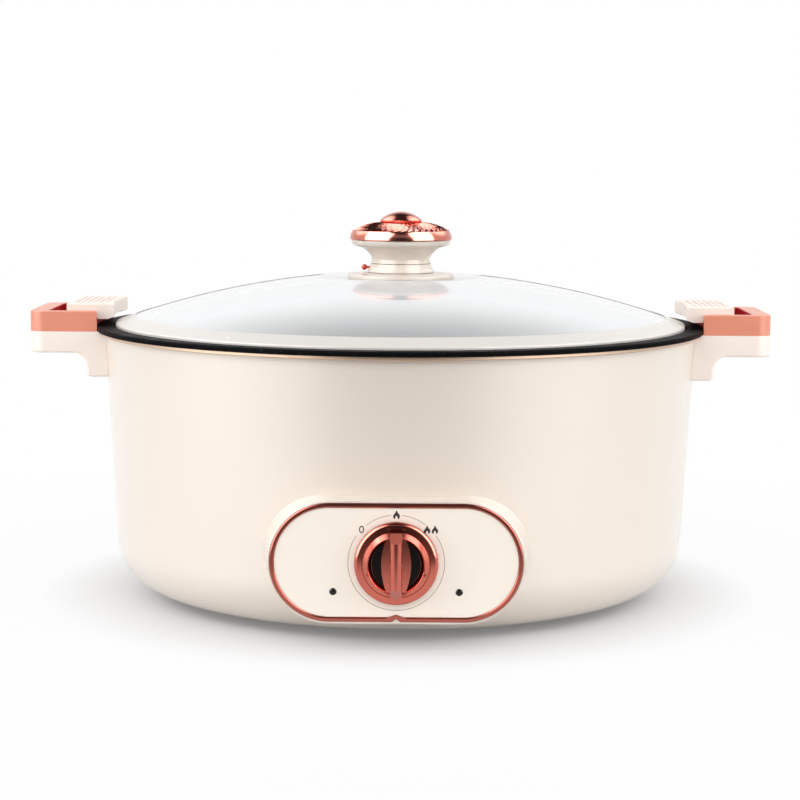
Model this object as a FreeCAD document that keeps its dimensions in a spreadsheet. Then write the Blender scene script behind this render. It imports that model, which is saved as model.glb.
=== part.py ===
import FreeCAD, Part

import math
import os

import Sketcher
from FreeCAD import Placement, Rotation, Vector

# Electric hot pot: a round shallow pan in a cream shell, with a loose glass lid, a handle
# with a sliding lid latch on each side, a rotary heat dial in front and a mains inlet behind.
# Millimetres, +Z up, the dial faces -Y. The origin is the middle of the footprint box on the
# table; the pot's own axis stands at y = axis_y, because the dial reaches further out than
# the inlet does.

DRIVING_SIZES = [
    # shell and base
    ("foot_rise", 4.0, "height of the base above the table"),
    ("shell_inset", 4.4, "how far the shell's top edge stands in from the rim's edge"),
    ("base_inset", 11.6, "how far the tapered wall would stand in from it at the base"),
    ("shell_corner", 27.0, "outer radius of the bend from wall to base"),
    ("shell_wall", 2.5, "wall of the shell"),
    ("cover_inset", 32.4, "how far the bottom cover's edge stands in from the wall's foot"),
    ("cover_wall", 2.5, "thickness of the bottom cover"),
    ("lip_width", 12.0, "width of the shell's lip above the cover"),
    ("boss_inset", 6.0, "how far the cover's screws stand in from its edge"),
    ("boss_top", 21.0, "height of the cover screw bosses, which carry the heat shield"),
    ("foot_inset", 40.0, "how far the feet stand in from the cover's edge"),
    ("foot_radius", 8.5, "radius of a foot at its top"),
    # rim, pan
    ("rim_height", 148.2, "top of the pan's rim above the table"),
    ("rim_radius", 168.0, "outer radius of the pan's rim"),
    ("rim_edge", 2.6, "depth of the rim's black edge"),
    ("band_rise", 1.8, "height of the champagne band under the rim"),
    ("band_inset", 1.4, "how far the band stands back from the rim's edge"),
    ("band_skirt", 4.0, "depth of the band's skirt inside the shell"),
    ("ledge_drop", 1.4, "depth of the lid's ledge below the rim"),
    ("ledge_wall", 2.6, "thickness of the ledge"),
    ("mouth_inset", 16.5, "how far the pan's mouth stands in from the rim's edge"),
    ("floor_inset", 7.0, "how far the pan's wall leans in from its mouth to its floor"),
    ("floor_height", 54.0, "height of the pan's floor above the table"),
    ("pan_corner", 24.0, "inner radius of the bend from floor to wall"),
    ("pan_wall", 2.5, "wall of the pan"),
    # heater
    ("plate_inset", 58.5, "how far the heating plate stands in from the pan's floor"),
    ("plate_wall", 4.0, "thickness of the heating plate"),
    ("coil_inset", 24.0, "how far the heating element stands in from the plate's edge"),
    ("tube_radius", 4.0, "radius of the element's sheath"),
    ("stud_beyond", 11.0, "how far the pan's studs stand outside the plate"),
    ("shield_height", 27.0, "underside of the heat shield's middle"),
    ("shield_wall", 1.0, "thickness of the heat shield"),
    ("stud_thread", 8.0, "length of a pan stud's thread under the shield"),
    # lid
    ("lid_inset", 10.0, "how far the lid's edge stands in from the rim's edge"),
    ("lid_edge", 2.4, "thickness of the lid rim's outer edge"),
    ("rim_band", 11.0, "radial width of the lid rim seen from above"),
    ("dome_height", 25.08, "height of the glass's outer sphere above its edge"),
    ("dome_rise", 28.75, "top of that sphere above the pan's rim"),
    ("glass_wall", 4.0, "thickness of the glass"),
    ("glass_inset", 7.4, "how far the glass reaches into the lid's rim from its edge"),
    ("seat_radius", 31.0, "radius of the flat seat in the middle of the glass"),
    ("shoulder_radius", 46.0, "radius at which the dome leaves the flat seat"),
    ("seat_drop", 0.35, "depth of the seat below the shoulder"),
    # knob
    ("knob_base_radius", 29.6, "radius of the knob's base disc"),
    ("hub_radius", 12.0, "radius of the hub that the vent collar turns on"),
    ("collar_radius", 18.6, "outer radius of the vent collar at its foot"),
    ("collar_rise", 7.8, "height of the knob's stem above its base disc's underside"),
    ("waist_radius", 16.1, "radius of the stem's waist"),
    ("stem_rise", 12.9, "height of the stem"),
    ("stem_lip", 27.6, "radius of the stem's upper lip"),
    ("crown_radius", 28.5, "largest radius of the crown"),
    ("crown_band", 5.1, "height of the crown's smooth band"),
    ("flute_rise", 4.4, "rise of the fluted dome above the band"),
    ("flute_count", 44, "number of flutes"),
    ("flute_depth", 1.3, "depth of a flute"),
    ("flute_twist", 17.0, "turn of a flute from its outer to its inner end, degrees"),
    ("button_radius", 11.7, "radius of the domed button"),
    ("button_rise", 7.2, "height of the domed button"),
    ("lid_screw_radius", 2.5, "radius of the lid's screw"),
    # handles and latches
    ("handle_length", 34.5, "how far a handle stands out beyond the pan's rim"),
    ("handle_half", 33.0, "half the width of a handle"),
    ("handle_corner", 8.0, "radius of the handle's outer corners"),
    ("grip_drop", 14.6, "underside of the grip below the rim's top"),
    ("root_drop", 27.7, "underside of the handle's root below the rim's top"),
    ("root_corner", 2.4, "radius of the root's lower outer corner"),
    ("root_lean", 0.1, "how much the root's outer side leans out, per unit of height"),
    ("scoop_radius", 6.8, "radius of the scoop where the root meets the grip"),
    ("grip_depth", 24.5, "width of the grip's flat underside, in from the handle's end"),
    ("frame_drop", 2.9, "underside of the orange frame below the rim's top"),
    ("frame_rise", 11.1, "height of the orange frame"),
    ("frame_side", 5.7, "width of the frame's side walls"),
    ("frame_end", 9.6, "width of the frame's end wall"),
    ("latch_lift", 4.5, "underside of the latch above the rim's top"),
    ("latch_rise", 7.8, "height of the latch"),
    ("latch_chin", 0.9, "how far the latch's chin hangs below, in front of the track"),
    ("latch_travel", 8.0, "how far the latch slides in over the lid"),
    ("latch_play", 1.0, "height of the latch over the lid's rim when it is slid in"),
    ("track_lining", 0.55, "thickness of the track's upright lining round the open slot"),
    ("slot_length", 10.5, "length of the open slot behind the latch"),
    ("latch_float", 0.4, "gap between the latch and its track"),
    ("tongue_length", 10.0, "length of the latch's side tongues"),
    ("tongue_reach", 2.2, "how far a tongue stands out of the latch's side"),
    ("ridge_count", 6, "number of grip grooves across the latch"),
    # control panel
    ("panel_depth", 16.6, "how far the panel's face stands out from the shell's base radius"),
    ("panel_height", 46.0, "height of the panel's middle above the table"),
    ("panel_half", 32.6, "half the straight length of the panel's outline"),
    ("panel_radius", 29.2, "radius of the panel trim's ends"),
    ("panel_bevel", 1.1, "width of the housing's edge round the trim"),
    ("panel_flare", 4.4, "how much longer the housing's outline is inside the shell"),
    ("panel_draft", 0.4, "how much larger its end radius is there"),
    ("panel_wall", 2.2, "wall of the housing"),
    ("trim_width", 2.3, "width of the rose-gold trim"),
    ("notch_half", 2.0, "half the width of the notch under the trim"),
    ("notch_rise", 1.7, "height of the notch under the trim"),
    ("lamp_offset", 30.7, "distance of a lamp from the panel's middle"),
    ("lamp_drop", 14.4, "how far the lamps are below the dial's axis"),
    ("lamp_radius", 1.8, "radius of a lamp's hole in the face"),
    ("lamp_length", 9.0, "length of a lamp's bulb"),
    ("lamp_lead", 3.5, "length of the leads behind a bulb"),
    # dial
    ("dial_radius", 20.4, "outer radius of the dial"),
    ("dial_rise", 18.0, "height of the dial's blade above the panel"),
    ("drum_radius", 16.6, "radius of the groove round the dial's drum"),
    ("drum_rise", 8.3, "height of the drum's lip above the panel"),
    ("lip_radius", 13.7, "radius of the drum's inner lip"),
    ("bowl_radius", 12.1, "radius of the recess's floor round the grip"),
    ("grip_half", 7.1, "half the width of the grip's foot in the middle"),
    ("grip_end", 4.6, "half the width of the grip's foot at its ends"),
    ("blade_half", 2.9, "half the width of the grip's blade"),
    ("shaft_radius", 3.0, "radius of the thermostat's shaft"),
    ("bushing_radius", 4.0, "radius of the thermostat's threaded bushing"),
    # inlet
    ("inlet_depth", 19.6, "how far the inlet's face stands out from the shell's base radius"),
    ("inlet_height", 36.0, "height of the inlet's middle above the table"),
    ("inlet_half", 15.0, "half the straight length of the inlet housing"),
    ("inlet_radius", 17.0, "radius of the inlet housing's ends"),
    ("socket_half_x", 12.3, "half the width of the socket's recess"),
    ("socket_half_y", 8.5, "half the height of the socket's recess"),
    ("socket_depth", 18.0, "depth of the socket's recess"),
    ("blade_length", 14.0, "length of the inlet's live blades in the recess"),
    ("earth_lead", 1.5, "how much longer the earth blade is"),
    ("blade_tail", 10.0, "length of a blade behind the recess"),
    ("inlet_screw_stop", 8.5, "how far the inlet's screws end behind its face"),
    # fits
    ("running_gap", 0.08, "radial clearance of a turning fit"),
    ("moving_gap", 0.3, "gap between pieces that move past each other"),
    ("seat_gap", 0.2, "gap between fixed pieces that slip together"),
    ("screw_gap", 0.05, "clearance of a screw in its pilot hole"),
]

doc = FreeCAD.newDocument("hot_pot")
sheet = doc.addObject("Spreadsheet::Sheet", "Sizes")
for row, (alias, amount, meaning) in enumerate(DRIVING_SIZES, start=1):
    sheet.set(f"A{row}", meaning)
    sheet.set(f"B{row}", str(amount))
    sheet.setAlias(f"B{row}", alias)
doc.recompute()


class Size:
    """A length worked out from the sheet: its number, and the expression that binds it."""

    def __init__(self, value, text):
        self.value = float(value)
        self.text = text

    def __add__(self, other):
        return Size(self.value + number(other), f"({self.text} + {written(other)})")

    def __radd__(self, other):
        return Size(number(other) + self.value, f"({written(other)} + {self.text})")

    def __sub__(self, other):
        return Size(self.value - number(other), f"({self.text} - {written(other)})")

    def __rsub__(self, other):
        return Size(number(other) - self.value, f"({written(other)} - {self.text})")

    def __mul__(self, other):
        return Size(self.value * number(other), f"({self.text} * {written(other)})")

    def __rmul__(self, other):
        return Size(number(other) * self.value, f"({written(other)} * {self.text})")

    def __truediv__(self, other):
        return Size(self.value / number(other), f"({self.text} / {written(other)})")

    def __neg__(self):
        return Size(-self.value, f"(0 - {self.text})")


class SizeSheet:
    """Gives each alias of the sheet as a Size."""

    def __getattr__(self, alias):
        return Size(sheet.get(alias), f"Sizes.{alias}")


def number(item):
    return item.value if isinstance(item, Size) else float(item)


def written(item):
    return item.text if isinstance(item, Size) else repr(float(item))


def root(item):
    return Size(math.sqrt(item.value), f"sqrt({item.text})")


S = SizeSheet()

# Radii, each measured in from the rim's edge or from the piece that it keeps to.
shell_top_radius = S.rim_radius - S.shell_inset
shell_base_radius = S.rim_radius - S.base_inset
cover_radius = shell_base_radius - S.cover_inset
boss_circle = cover_radius - S.boss_inset
foot_circle = cover_radius - S.foot_inset
mouth_radius = S.rim_radius - S.mouth_inset
floor_radius = mouth_radius - S.floor_inset
plate_radius = floor_radius - S.plate_inset
coil_radius = plate_radius - S.coil_inset
stud_circle = plate_radius + S.stud_beyond
lid_radius = S.rim_radius - S.lid_inset
glass_radius = lid_radius - S.glass_inset
dome_radius = (glass_radius * glass_radius / S.dome_height + S.dome_height) / 2

# Heights that several pieces share.
base = S.foot_rise
rim_under = S.rim_height - S.rim_edge
grip_under = S.rim_height - S.grip_drop
root_under = S.rim_height - S.root_drop
frame_under = S.rim_height - S.frame_drop
latch_under = S.rim_height + S.latch_lift
shell_top = rim_under - S.band_rise
ledge = S.rim_height - S.ledge_drop
pan_under = S.floor_height - S.pan_wall
panel_reach = shell_base_radius + S.panel_depth
inlet_reach = shell_base_radius + S.inlet_depth
handle_reach = S.rim_radius + S.handle_length
dial_front = panel_reach + S.dial_rise
socket_flange = 1.5
axis_y = (dial_front - (inlet_reach + socket_flange)) / 2

FRONT = Rotation(Vector(1, 0, 0), 90)  # local +Z points out of the front, local +Y up
REAR = Rotation(Vector(0, 0, 1), 180) * FRONT  # local +Z points out of the back
FAR_SIDE = Rotation(Vector(0, 0, 1), 180)

kept = []  # every object that is written out as a piece


# ---------------------------------------------------------------- helpers


def bind(thing, path, item):
    """Sets a property's expression when the item comes from the sheet."""
    if isinstance(item, Size):
        thing.setExpression(path, item.text)


def place(thing, x=0.0, y=0.0, z=0.0, turn=None):
    """Puts a piece at a point given from the pot's axis on the table."""
    y = axis_y + y
    thing.Placement = Placement(Vector(number(x), number(y), number(z)), turn or Rotation())
    bind(thing, "Placement.Base.x", x)
    bind(thing, "Placement.Base.y", y)
    bind(thing, "Placement.Base.z", z)


def keep(thing, label):
    thing.Label = label
    kept.append(thing)
    return thing


def new_body(label, **where):
    body = doc.addObject("PartDesign::Body", label)
    keep(body, label)
    place(body, **where)
    return body


def new_sketch(body, role="XY_Plane", offset=0.0):
    """A sketch on one of the body's own planes, moved along the plane's normal."""
    sketch = body.newObject("Sketcher::SketchObject", f"{body.Label}_sketch")
    plane = next(f for f in body.Origin.OriginFeatures if f.Role == role)
    sketch.AttachmentSupport = [(plane, "")]
    sketch.MapMode = "FlatFace"
    sketch.AttachmentOffset = Placement(Vector(0, 0, number(offset)), Rotation())
    bind(sketch, "AttachmentOffset.Base.z", offset)
    return sketch


def pin_down(sketch, edge, point, x, y):
    """Binds one point of a sketch edge to its place."""
    for kind, item in (("DistanceX", x), ("DistanceY", y)):
        index = sketch.addConstraint(
            Sketcher.Constraint(kind, -1, 1, edge, point, number(item))
        )
        bind(sketch, f"Constraints[{index}]", item)


def draw_outline(sketch, corners):
    """Draws a closed loop. A corner is (x, y), reached by a line, or (x, y, radius, side),
    reached by an arc whose centre is on the left (side 1) or on the right (side -1)."""
    first = sketch.GeometryCount
    total = len(corners)
    ends = []
    for i in range(total):
        here = Vector(number(corners[i - 1][0]), number(corners[i - 1][1]), 0)
        there = Vector(number(corners[i][0]), number(corners[i][1]), 0)
        if len(corners[i]) == 2:
            sketch.addGeometry(Part.LineSegment(here, there), False)
            ends.append((1, 2))
            continue
        radius, side = number(corners[i][2]), corners[i][3]
        chord = there - here
        across = Vector(-chord.y, chord.x, 0).normalize() * side
        centre = (here + there) * 0.5
        centre += across * math.sqrt(max(radius**2 - (chord.Length / 2) ** 2, 0.0))
        start, stop = (here, there) if side > 0 else (there, here)
        angles = [math.atan2((p - centre).y, (p - centre).x) for p in (start, stop)]
        circle = Part.Circle(centre, Vector(0, 0, 1), radius)
        sketch.addGeometry(Part.ArcOfCircle(circle, *angles), False)
        ends.append((1, 2) if side > 0 else (2, 1))
    for i in range(total):
        after = (i + 1) % total
        sketch.addConstraint(
            Sketcher.Constraint(
                "Coincident", first + i, ends[i][1], first + after, ends[after][0]
            )
        )
    for i, corner in enumerate(corners):
        pin_down(sketch, first + i, ends[i][1], corner[0], corner[1])
        if len(corner) > 2:
            index = sketch.addConstraint(
                Sketcher.Constraint("Radius", first + i, number(corner[2]))
            )
            bind(sketch, f"Constraints[{index}]", corner[2])
    return sketch


def draw_circle(sketch, x, y, radius):
    circle = Part.Circle(Vector(number(x), number(y), 0), Vector(0, 0, 1), number(radius))
    edge = sketch.addGeometry(circle, False)
    pin_down(sketch, edge, 3, x, y)
    index = sketch.addConstraint(Sketcher.Constraint("Radius", edge, number(radius)))
    bind(sketch, f"Constraints[{index}]", radius)
    return sketch


def box_corners(x0, x1, y0, y1):
    return [(x0, y0), (x1, y0), (x1, y1), (x0, y1)]


def stadium(half, radius, middle=0.0, notch_half=None, notch_rise=None):
    """Corners of a long round-ended outline, with a pointed notch at the bottom if asked."""
    corners = [(-half, middle - radius, radius, 1)]
    if notch_half is not None:
        corners += [
            (-notch_half, middle - radius),
            (0.0, middle - radius + notch_rise),
            (notch_half, middle - radius),
        ]
    return corners + [
        (half, middle - radius),
        (half + radius, middle, radius, 1),
        (half, middle + radius, radius, 1),
        (-half, middle + radius),
        (-half - radius, middle, radius, 1),
    ]


def feature(body, kind, profile, length=None, back=False):
    """A pad, pocket, revolution or groove of a sketch."""
    made = body.newObject(f"PartDesign::{kind}", f"{body.Label}_{kind.lower()}")
    made.Profile = profile
    if kind in ("Revolution", "Groove"):
        made.ReferenceAxis = (profile, ["V_Axis"])
        made.Angle = 360
        return made
    made.Reversed = back
    if length is None:
        made.Type = "ThroughAll"
    else:
        made.Length = number(length)
        bind(made, "Length", length)
    return made


def turn_body(label, corners, **where):
    """A body of revolution from corners given as radius and height."""
    body = new_body(label, **where)
    feature(body, "Revolution", draw_outline(new_sketch(body, "XZ_Plane"), corners))
    return body


def pad(body, corners, length, offset=0.0, role="XY_Plane", back=False):
    return feature(body, "Pad", draw_outline(new_sketch(body, role, offset), corners), length, back)


def pocket(body, corners, length, offset=0.0, role="XY_Plane", back=False):
    sketch = draw_outline(new_sketch(body, role, offset), corners)
    return feature(body, "Pocket", sketch, length, back)


def drill(body, spots, radius, length=None, offset=0.0, role="XY_Plane", back=False):
    """Pockets a round hole at each spot, and checks that every hole cuts something."""
    sketch = new_sketch(body, role, offset)
    for x, y in spots:
        draw_circle(sketch, x, y, radius)
    return feature(body, "Pocket", sketch, length, back)


def studs(body, spots, radius, length, offset=0.0, role="XY_Plane", back=False):
    sketch = new_sketch(body, role, offset)
    for x, y in spots:
        draw_circle(sketch, x, y, radius)
    return feature(body, "Pad", sketch, length, back)


def loft(body, kind, first, second):
    made = body.newObject(f"PartDesign::{kind}", f"{body.Label}_loft")
    made.Profile = first
    made.Sections = [second]
    made.Ruled = True
    return made


def soften(body, wanted, radius, kind="Fillet"):
    """Rounds or bevels the edges of the body's tip that the test picks."""
    doc.recompute()
    tip = body.Tip
    names = [
        f"Edge{i}" for i, edge in enumerate(tip.Shape.Edges, start=1) if wanted(edge)
    ]
    if not names:
        raise RuntimeError(f"{body.Label}: no edge to soften")
    made = body.newObject(f"PartDesign::{kind}", f"{body.Label}_{kind.lower()}")
    made.Base = (tip, names)
    if kind == "Fillet":
        made.Radius = number(radius)
        bind(made, "Radius", radius)
    else:
        made.Size = number(radius)
        bind(made, "Size", radius)
    return made


def near(a, b, slack=0.02):
    return abs(number(a) - number(b)) < slack


def ring_at(radius, height):
    """Picks a full circle round the body's Z axis."""

    def wanted(edge):
        curve = edge.Curve
        return (
            isinstance(curve, Part.Circle)
            and near(curve.Radius, radius)
            and near(curve.Center.z, height)
        )

    return wanted


def flat_at(height):
    """Picks every edge that lies at one height."""

    def wanted(edge):
        box = edge.BoundBox
        return near(box.ZMin, height) and near(box.ZMax, height)

    return wanted


def upright_at(x, y):
    """Picks the vertical edge through a point and its twin at -y."""

    def wanted(edge):
        box = edge.BoundBox
        return (
            near(box.XMin, x)
            and near(box.XMax, x)
            and near(box.YMin, box.YMax)
            and near(abs(box.YMin), y)
            and box.ZLength > 0.5
        )

    return wanted


def four_corners(circle):
    """The corners of a square whose corners lie on the circle."""
    half = circle * math.sqrt(0.5)
    return [(half * a, half * b) for a in (-1, 1) for b in (-1, 1)]


def repeat(body, made, count, role="Z_Axis"):
    """Repeats a feature round the body's axis."""
    pattern = body.newObject("PartDesign::PolarPattern", f"{body.Label}_pattern")
    pattern.Originals = [made]
    axis = next(f for f in body.Origin.OriginFeatures if f.Role == role)
    pattern.Axis = (axis, [""])
    pattern.Angle = 360
    pattern.Occurrences = int(number(count))
    bind(pattern, "Occurrences", count)
    body.Tip = pattern
    return pattern


def loose_solid(label, shape, **where):
    """A piece whose shape comes straight from Part functions."""
    thing = doc.addObject("Part::Feature", label)
    thing.Shape = shape
    keep(thing, label)
    place(thing, **where)
    return thing


def rod(radius, start, length, along=Vector(0, 0, 1)):
    return Part.makeCylinder(number(radius), number(length), start, along)


def pan_head_screw(radius, length, head_radius, head_rise, start, along):
    """A screw whose head's bearing face is at start and whose shank runs along."""
    head = rod(head_radius, start - along * head_rise, head_rise, along)
    crown = start - along * head_rise
    outer = [e for e in head.Edges if e.Closed and e.CenterOfMass.distanceToPoint(crown) < 0.1]
    head = head.makeFillet(head_rise * 0.45, outer)
    slot = Part.makeBox(head_radius * 1.3, head_rise * 0.3, head_rise * 0.5)
    slot.translate(Vector(-head_radius * 0.65, -head_rise * 0.15, 0))
    slot.Placement = Placement(
        start - along * head_rise * 1.1, Rotation(Vector(0, 0, 1), along)
    ).multiply(slot.Placement)
    return head.cut(slot).fuse(rod(radius, start, length, along)).removeSplitter()


def turned(shape, angle):
    copy = shape.copy()
    copy.rotate(Vector(0, 0, 0), Vector(0, 0, 1), angle)
    return copy


def group(shapes):
    return Part.makeCompound(shapes)


# ---------------------------------------------------------------- shell and base

# The wall's slope, and the run of the bend's tangent along base and wall.
slope = (shell_top_radius - shell_base_radius) / (shell_top - base)
secant = root(slope * slope + 1)


def shell_radius(height, offset=0.0):
    """Outer radius of the straight part of the wall, moved out sideways by the offset."""
    return shell_base_radius + slope * (height - base) + offset


def wall_and_bend(offset, floor, bend):
    """Corners of wall and bend, from the top edge down to the flat base."""
    foot = shell_radius(floor, offset)
    run = bend * (secant - slope)
    return [
        (shell_radius(shell_top, offset), shell_top),
        (foot - run + bend / secant, floor + bend - bend * slope / secant),
        (foot - run, floor, bend, -1),
    ]


def outer_shell():
    seat = cover_radius + S.seat_gap
    lip_top = base + S.cover_wall + S.shell_wall
    outside = wall_and_bend(0.0, base, S.shell_corner)
    inside = wall_and_bend(-S.shell_wall, base + S.shell_wall, S.shell_corner - S.shell_wall)
    inside = [inside[2][:2], (*inside[1], S.shell_corner - S.shell_wall, 1), inside[0]]
    lip = [
        (seat, base),
        (seat, base + S.cover_wall),
        (cover_radius - S.lip_width, base + S.cover_wall),
        (cover_radius - S.lip_width, lip_top),
        (seat + S.shell_wall, lip_top),
        (seat + S.shell_wall, base + S.shell_wall),
    ]
    body = turn_body("outer_shell", outside + lip + inside)
    # bosses for the cover screws, which also carry the heat shield
    boss_foot = lip_top - 0.5
    studs(body, four_corners(boss_circle), 3.6, S.boss_top - boss_foot, offset=boss_foot)
    drill(body, four_corners(boss_circle), small_screw + S.screw_gap, back=True)
    # flat pads for the screws that hold the panel and the inlet, trimmed to the wall's outside
    for side in (-1, 1):
        studs(body, [(side * panel_screw_x, S.panel_height)], pad_radius, 5.0,
              offset=panel_pad_y, role="XZ_Plane")
        studs(body, [(side * inlet_screw_x, S.inlet_height)], pad_radius, 5.0,
              offset=-inlet_pad_y, role="XZ_Plane", back=True)
    low, high = S.inlet_height - pad_radius - 0.5, S.panel_height + pad_radius + 0.5
    outside = [(shell_radius(low), low), (shell_radius(low) + 9.0, low),
               (shell_radius(high) + 9.0, high), (shell_radius(high), high)]
    feature(body, "Groove", draw_outline(new_sketch(body, "XZ_Plane"), outside))
    # openings behind the panel and the inlet, and the holes of their screws
    front_window = stadium(window_half, window_radius, S.panel_height)
    pocket(body, front_window, None, role="XZ_Plane", back=True)
    rear_window = box_corners(-rear_half_x, rear_half_x,
                              S.inlet_height - rear_half_z, S.inlet_height + rear_half_z)
    pocket(body, rear_window, None, role="XZ_Plane")
    spots = [(side * panel_screw_x, S.panel_height) for side in (-1, 1)]
    drill(body, spots, small_screw + S.seat_gap, role="XZ_Plane", back=True)
    spots = [(side * inlet_screw_x, S.inlet_height) for side in (-1, 1)]
    drill(body, spots, small_screw + S.seat_gap, role="XZ_Plane")
    spots = [(side * handle_screw_y, handle_screw_z) for side in (-1, 1)]
    for back in (False, True):
        drill(body, spots, handle_screw_radius + S.seat_gap, role="YZ_Plane", back=back)
    return body


# Where the panel and the inlet are screwed to the shell, and the openings behind them.
small_screw = 1.5
pad_radius = 3.8
lamp_bulb = 2.6
window_half = S.panel_half - 8.6
lamp_beyond = S.lamp_offset - window_half
window_radius = root(S.lamp_drop * S.lamp_drop + lamp_beyond * lamp_beyond) + lamp_bulb + 1.0
rear_half_x, rear_half_z = S.socket_half_x + 5.2, S.socket_half_y + 5.0
panel_screw_x = window_half + window_radius + 6.5
inlet_screw_x = rear_half_x + 6.5


def pad_face(across, height):
    """Distance from the axis plane to a screw pad that just clears the wall's inside."""
    inner = shell_radius(height, -S.shell_wall)
    edge = across + pad_radius
    return root(inner * inner - edge * edge) - 1.0


panel_pad_y = pad_face(panel_screw_x, S.panel_height)
inlet_pad_y = pad_face(inlet_screw_x, S.inlet_height)


def champagne_band():
    skirt = shell_radius(shell_top, -S.shell_wall) - S.seat_gap
    edge = S.rim_radius - S.band_inset
    body = turn_body("champagne_band", [
        (skirt - 1.5, shell_top - S.band_skirt),
        (skirt, shell_top - S.band_skirt),
        (skirt, shell_top),
        (edge, shell_top),
        (edge, rim_under),
        (skirt - 1.5, rim_under),
    ])
    soften(body, ring_at(edge, shell_top), 0.5)
    return body


def bottom_cover():
    body = new_body("bottom_cover", z=base)
    sketch = new_sketch(body)
    draw_circle(sketch, 0.0, 0.0, cover_radius)
    feature(body, "Pad", sketch, S.cover_wall)
    rib = new_sketch(body, offset=S.cover_wall)
    rib_radius = cover_radius - 21.0
    draw_circle(rib, 0.0, 0.0, rib_radius)
    draw_circle(rib, 0.0, 0.0, rib_radius - 2.0)
    feature(body, "Pad", rib, 3.0)
    slot = [
        (38.0, -1.5, 1.5, 1), (56.0, -1.5), (57.5, 0.0, 1.5, 1),
        (56.0, 1.5, 1.5, 1), (38.0, 1.5), (36.5, 0.0, 1.5, 1),
    ]
    vent = pocket(body, slot, None, back=True)
    repeat(body, vent, 18)
    drill(body, four_corners(boss_circle), small_screw + S.seat_gap, back=True)
    drill(body, four_corners(boss_circle), cover_head_radius + S.seat_gap, cover_head_sink,
          back=True)
    drill(body, four_corners(foot_circle), foot_peg_radius, back=True)
    return body


cover_head_radius = 2.9
cover_head_sink = 1.5
foot_peg_radius = 3.0
boss_middle = base + (S.boss_top - base) * 0.6  # where the screws from both ends stop


def rubber_feet():
    peg = rod(foot_peg_radius - 0.1, Vector(0, 0, number(base) - 0.5),
              number(S.cover_wall) + 2.0)
    sole = Part.makeCone(number(S.foot_radius) - 1.0, number(S.foot_radius), number(base))
    foot = sole.fuse(peg).removeSplitter()
    foot.translate(Vector(number(foot_circle), 0, 0))
    return loose_solid("rubber_feet", group([turned(foot, 45 + 90 * i) for i in range(4)]))


def cover_screws():
    start = Vector(number(boss_circle), 0, number(base + cover_head_sink))
    length = number(boss_middle - 1.0) - start.z
    screw = pan_head_screw(small_screw, length, cover_head_radius, 1.4, start, Vector(0, 0, 1))
    return loose_solid("cover_screws", group([turned(screw, 45 + 90 * i) for i in range(4)]))


# ---------------------------------------------------------------- pan and heater


def inner_pan():
    """The pan is drawn as one outline: rim, lid ledge, wall, floor and back."""
    lean = (mouth_radius - floor_radius) / (ledge - S.floor_height)
    long = root(lean * lean + 1)

    def bend(foot, floor, radius, side):
        run = radius * (long - lean)
        return [
            (foot - run, floor),
            (foot - run + radius / long, floor + radius - radius * lean / long, radius, side),
        ]

    inner = bend(floor_radius, S.floor_height, S.pan_corner, 1)
    outer = bend(floor_radius + S.pan_wall, pan_under, S.pan_corner + S.pan_wall, 1)
    inner = [inner[1][:2], (*inner[0], S.pan_corner, -1)]
    lid_seat = lid_radius + lid_side_gap
    step = lid_seat + S.moving_gap
    body = turn_body("inner_pan", [
        (S.rim_radius, rim_under),
        (S.rim_radius, S.rim_height),
        (lid_seat, S.rim_height),
        (lid_seat, ledge),
        (mouth_radius, ledge),
        *inner,
        (0.0, S.floor_height),
        (0.0, pan_under),
        *outer,
        (mouth_radius + S.pan_wall, ledge - S.ledge_wall),
        (step, ledge - S.ledge_wall),
        (step, rim_under),
    ])
    soften(body, ring_at(S.rim_radius, S.rim_height), 1.1)
    soften(body, ring_at(mouth_radius, ledge), 1.6)
    return body


def heating_plate():
    """A cast disc with a thick ring that holds the element in a groove."""
    top = pan_under
    under = top - S.plate_wall
    ring_in = coil_radius - S.tube_radius - 4.0
    ring_out = coil_radius + S.tube_radius + 4.0
    foot = under - S.tube_radius
    hold = S.tube_radius + S.screw_gap
    body = turn_body("heating_plate", [
        (0.0, under),
        (ring_in, under),
        (ring_in + 1.0, foot),
        (coil_radius - hold, foot),
        (coil_radius, foot + hold, hold, -1),
        (coil_radius + hold, foot, hold, -1),
        (ring_out - 1.0, foot),
        (ring_out, under),
        (plate_radius, under),
        (plate_radius, top),
        (0.0, top),
    ])
    return body


element_gap = 14.0  # degrees from the front to each end of the element's ring


def heating_tube():
    """The sheathed element: most of a ring, with a straight cold end at each side of the gap."""
    height = number(pan_under - S.plate_wall - S.tube_radius)
    ring, tube = number(coil_radius), number(S.tube_radius)
    start, stop = math.radians(-90 + element_gap), math.radians(270 - element_gap)
    circle = Part.Circle(Vector(0, 0, height), Vector(0, 0, 1), ring)
    path = Part.Wire([Part.ArcOfCircle(circle, start, stop).toShape()])
    first = path.Edges[0].valueAt(path.Edges[0].FirstParameter)
    section = Part.Circle(first, Vector(-first.y, first.x, 0), tube).toShape()
    shape = path.makePipeShell([Part.Wire([section])], True, True)
    shield_top = number(S.shield_height + S.shield_wall)
    leg_end, pin_end = shield_top + 1.0, shield_top - 9.0
    for angle in (start, stop):
        spot = Vector(ring * math.cos(angle), ring * math.sin(angle), height)
        foot = Vector(spot.x, spot.y, leg_end)
        shape = shape.fuse(rod(tube, foot, height - leg_end)).fuse(Part.makeSphere(tube, spot))
        tip = Vector(spot.x, spot.y, pin_end)
        shape = shape.fuse(rod(1.6, tip, leg_end - pin_end + 1.0))
    return loose_solid("heating_tube", shape.removeSplitter())


stud_radius = 2.5


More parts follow.
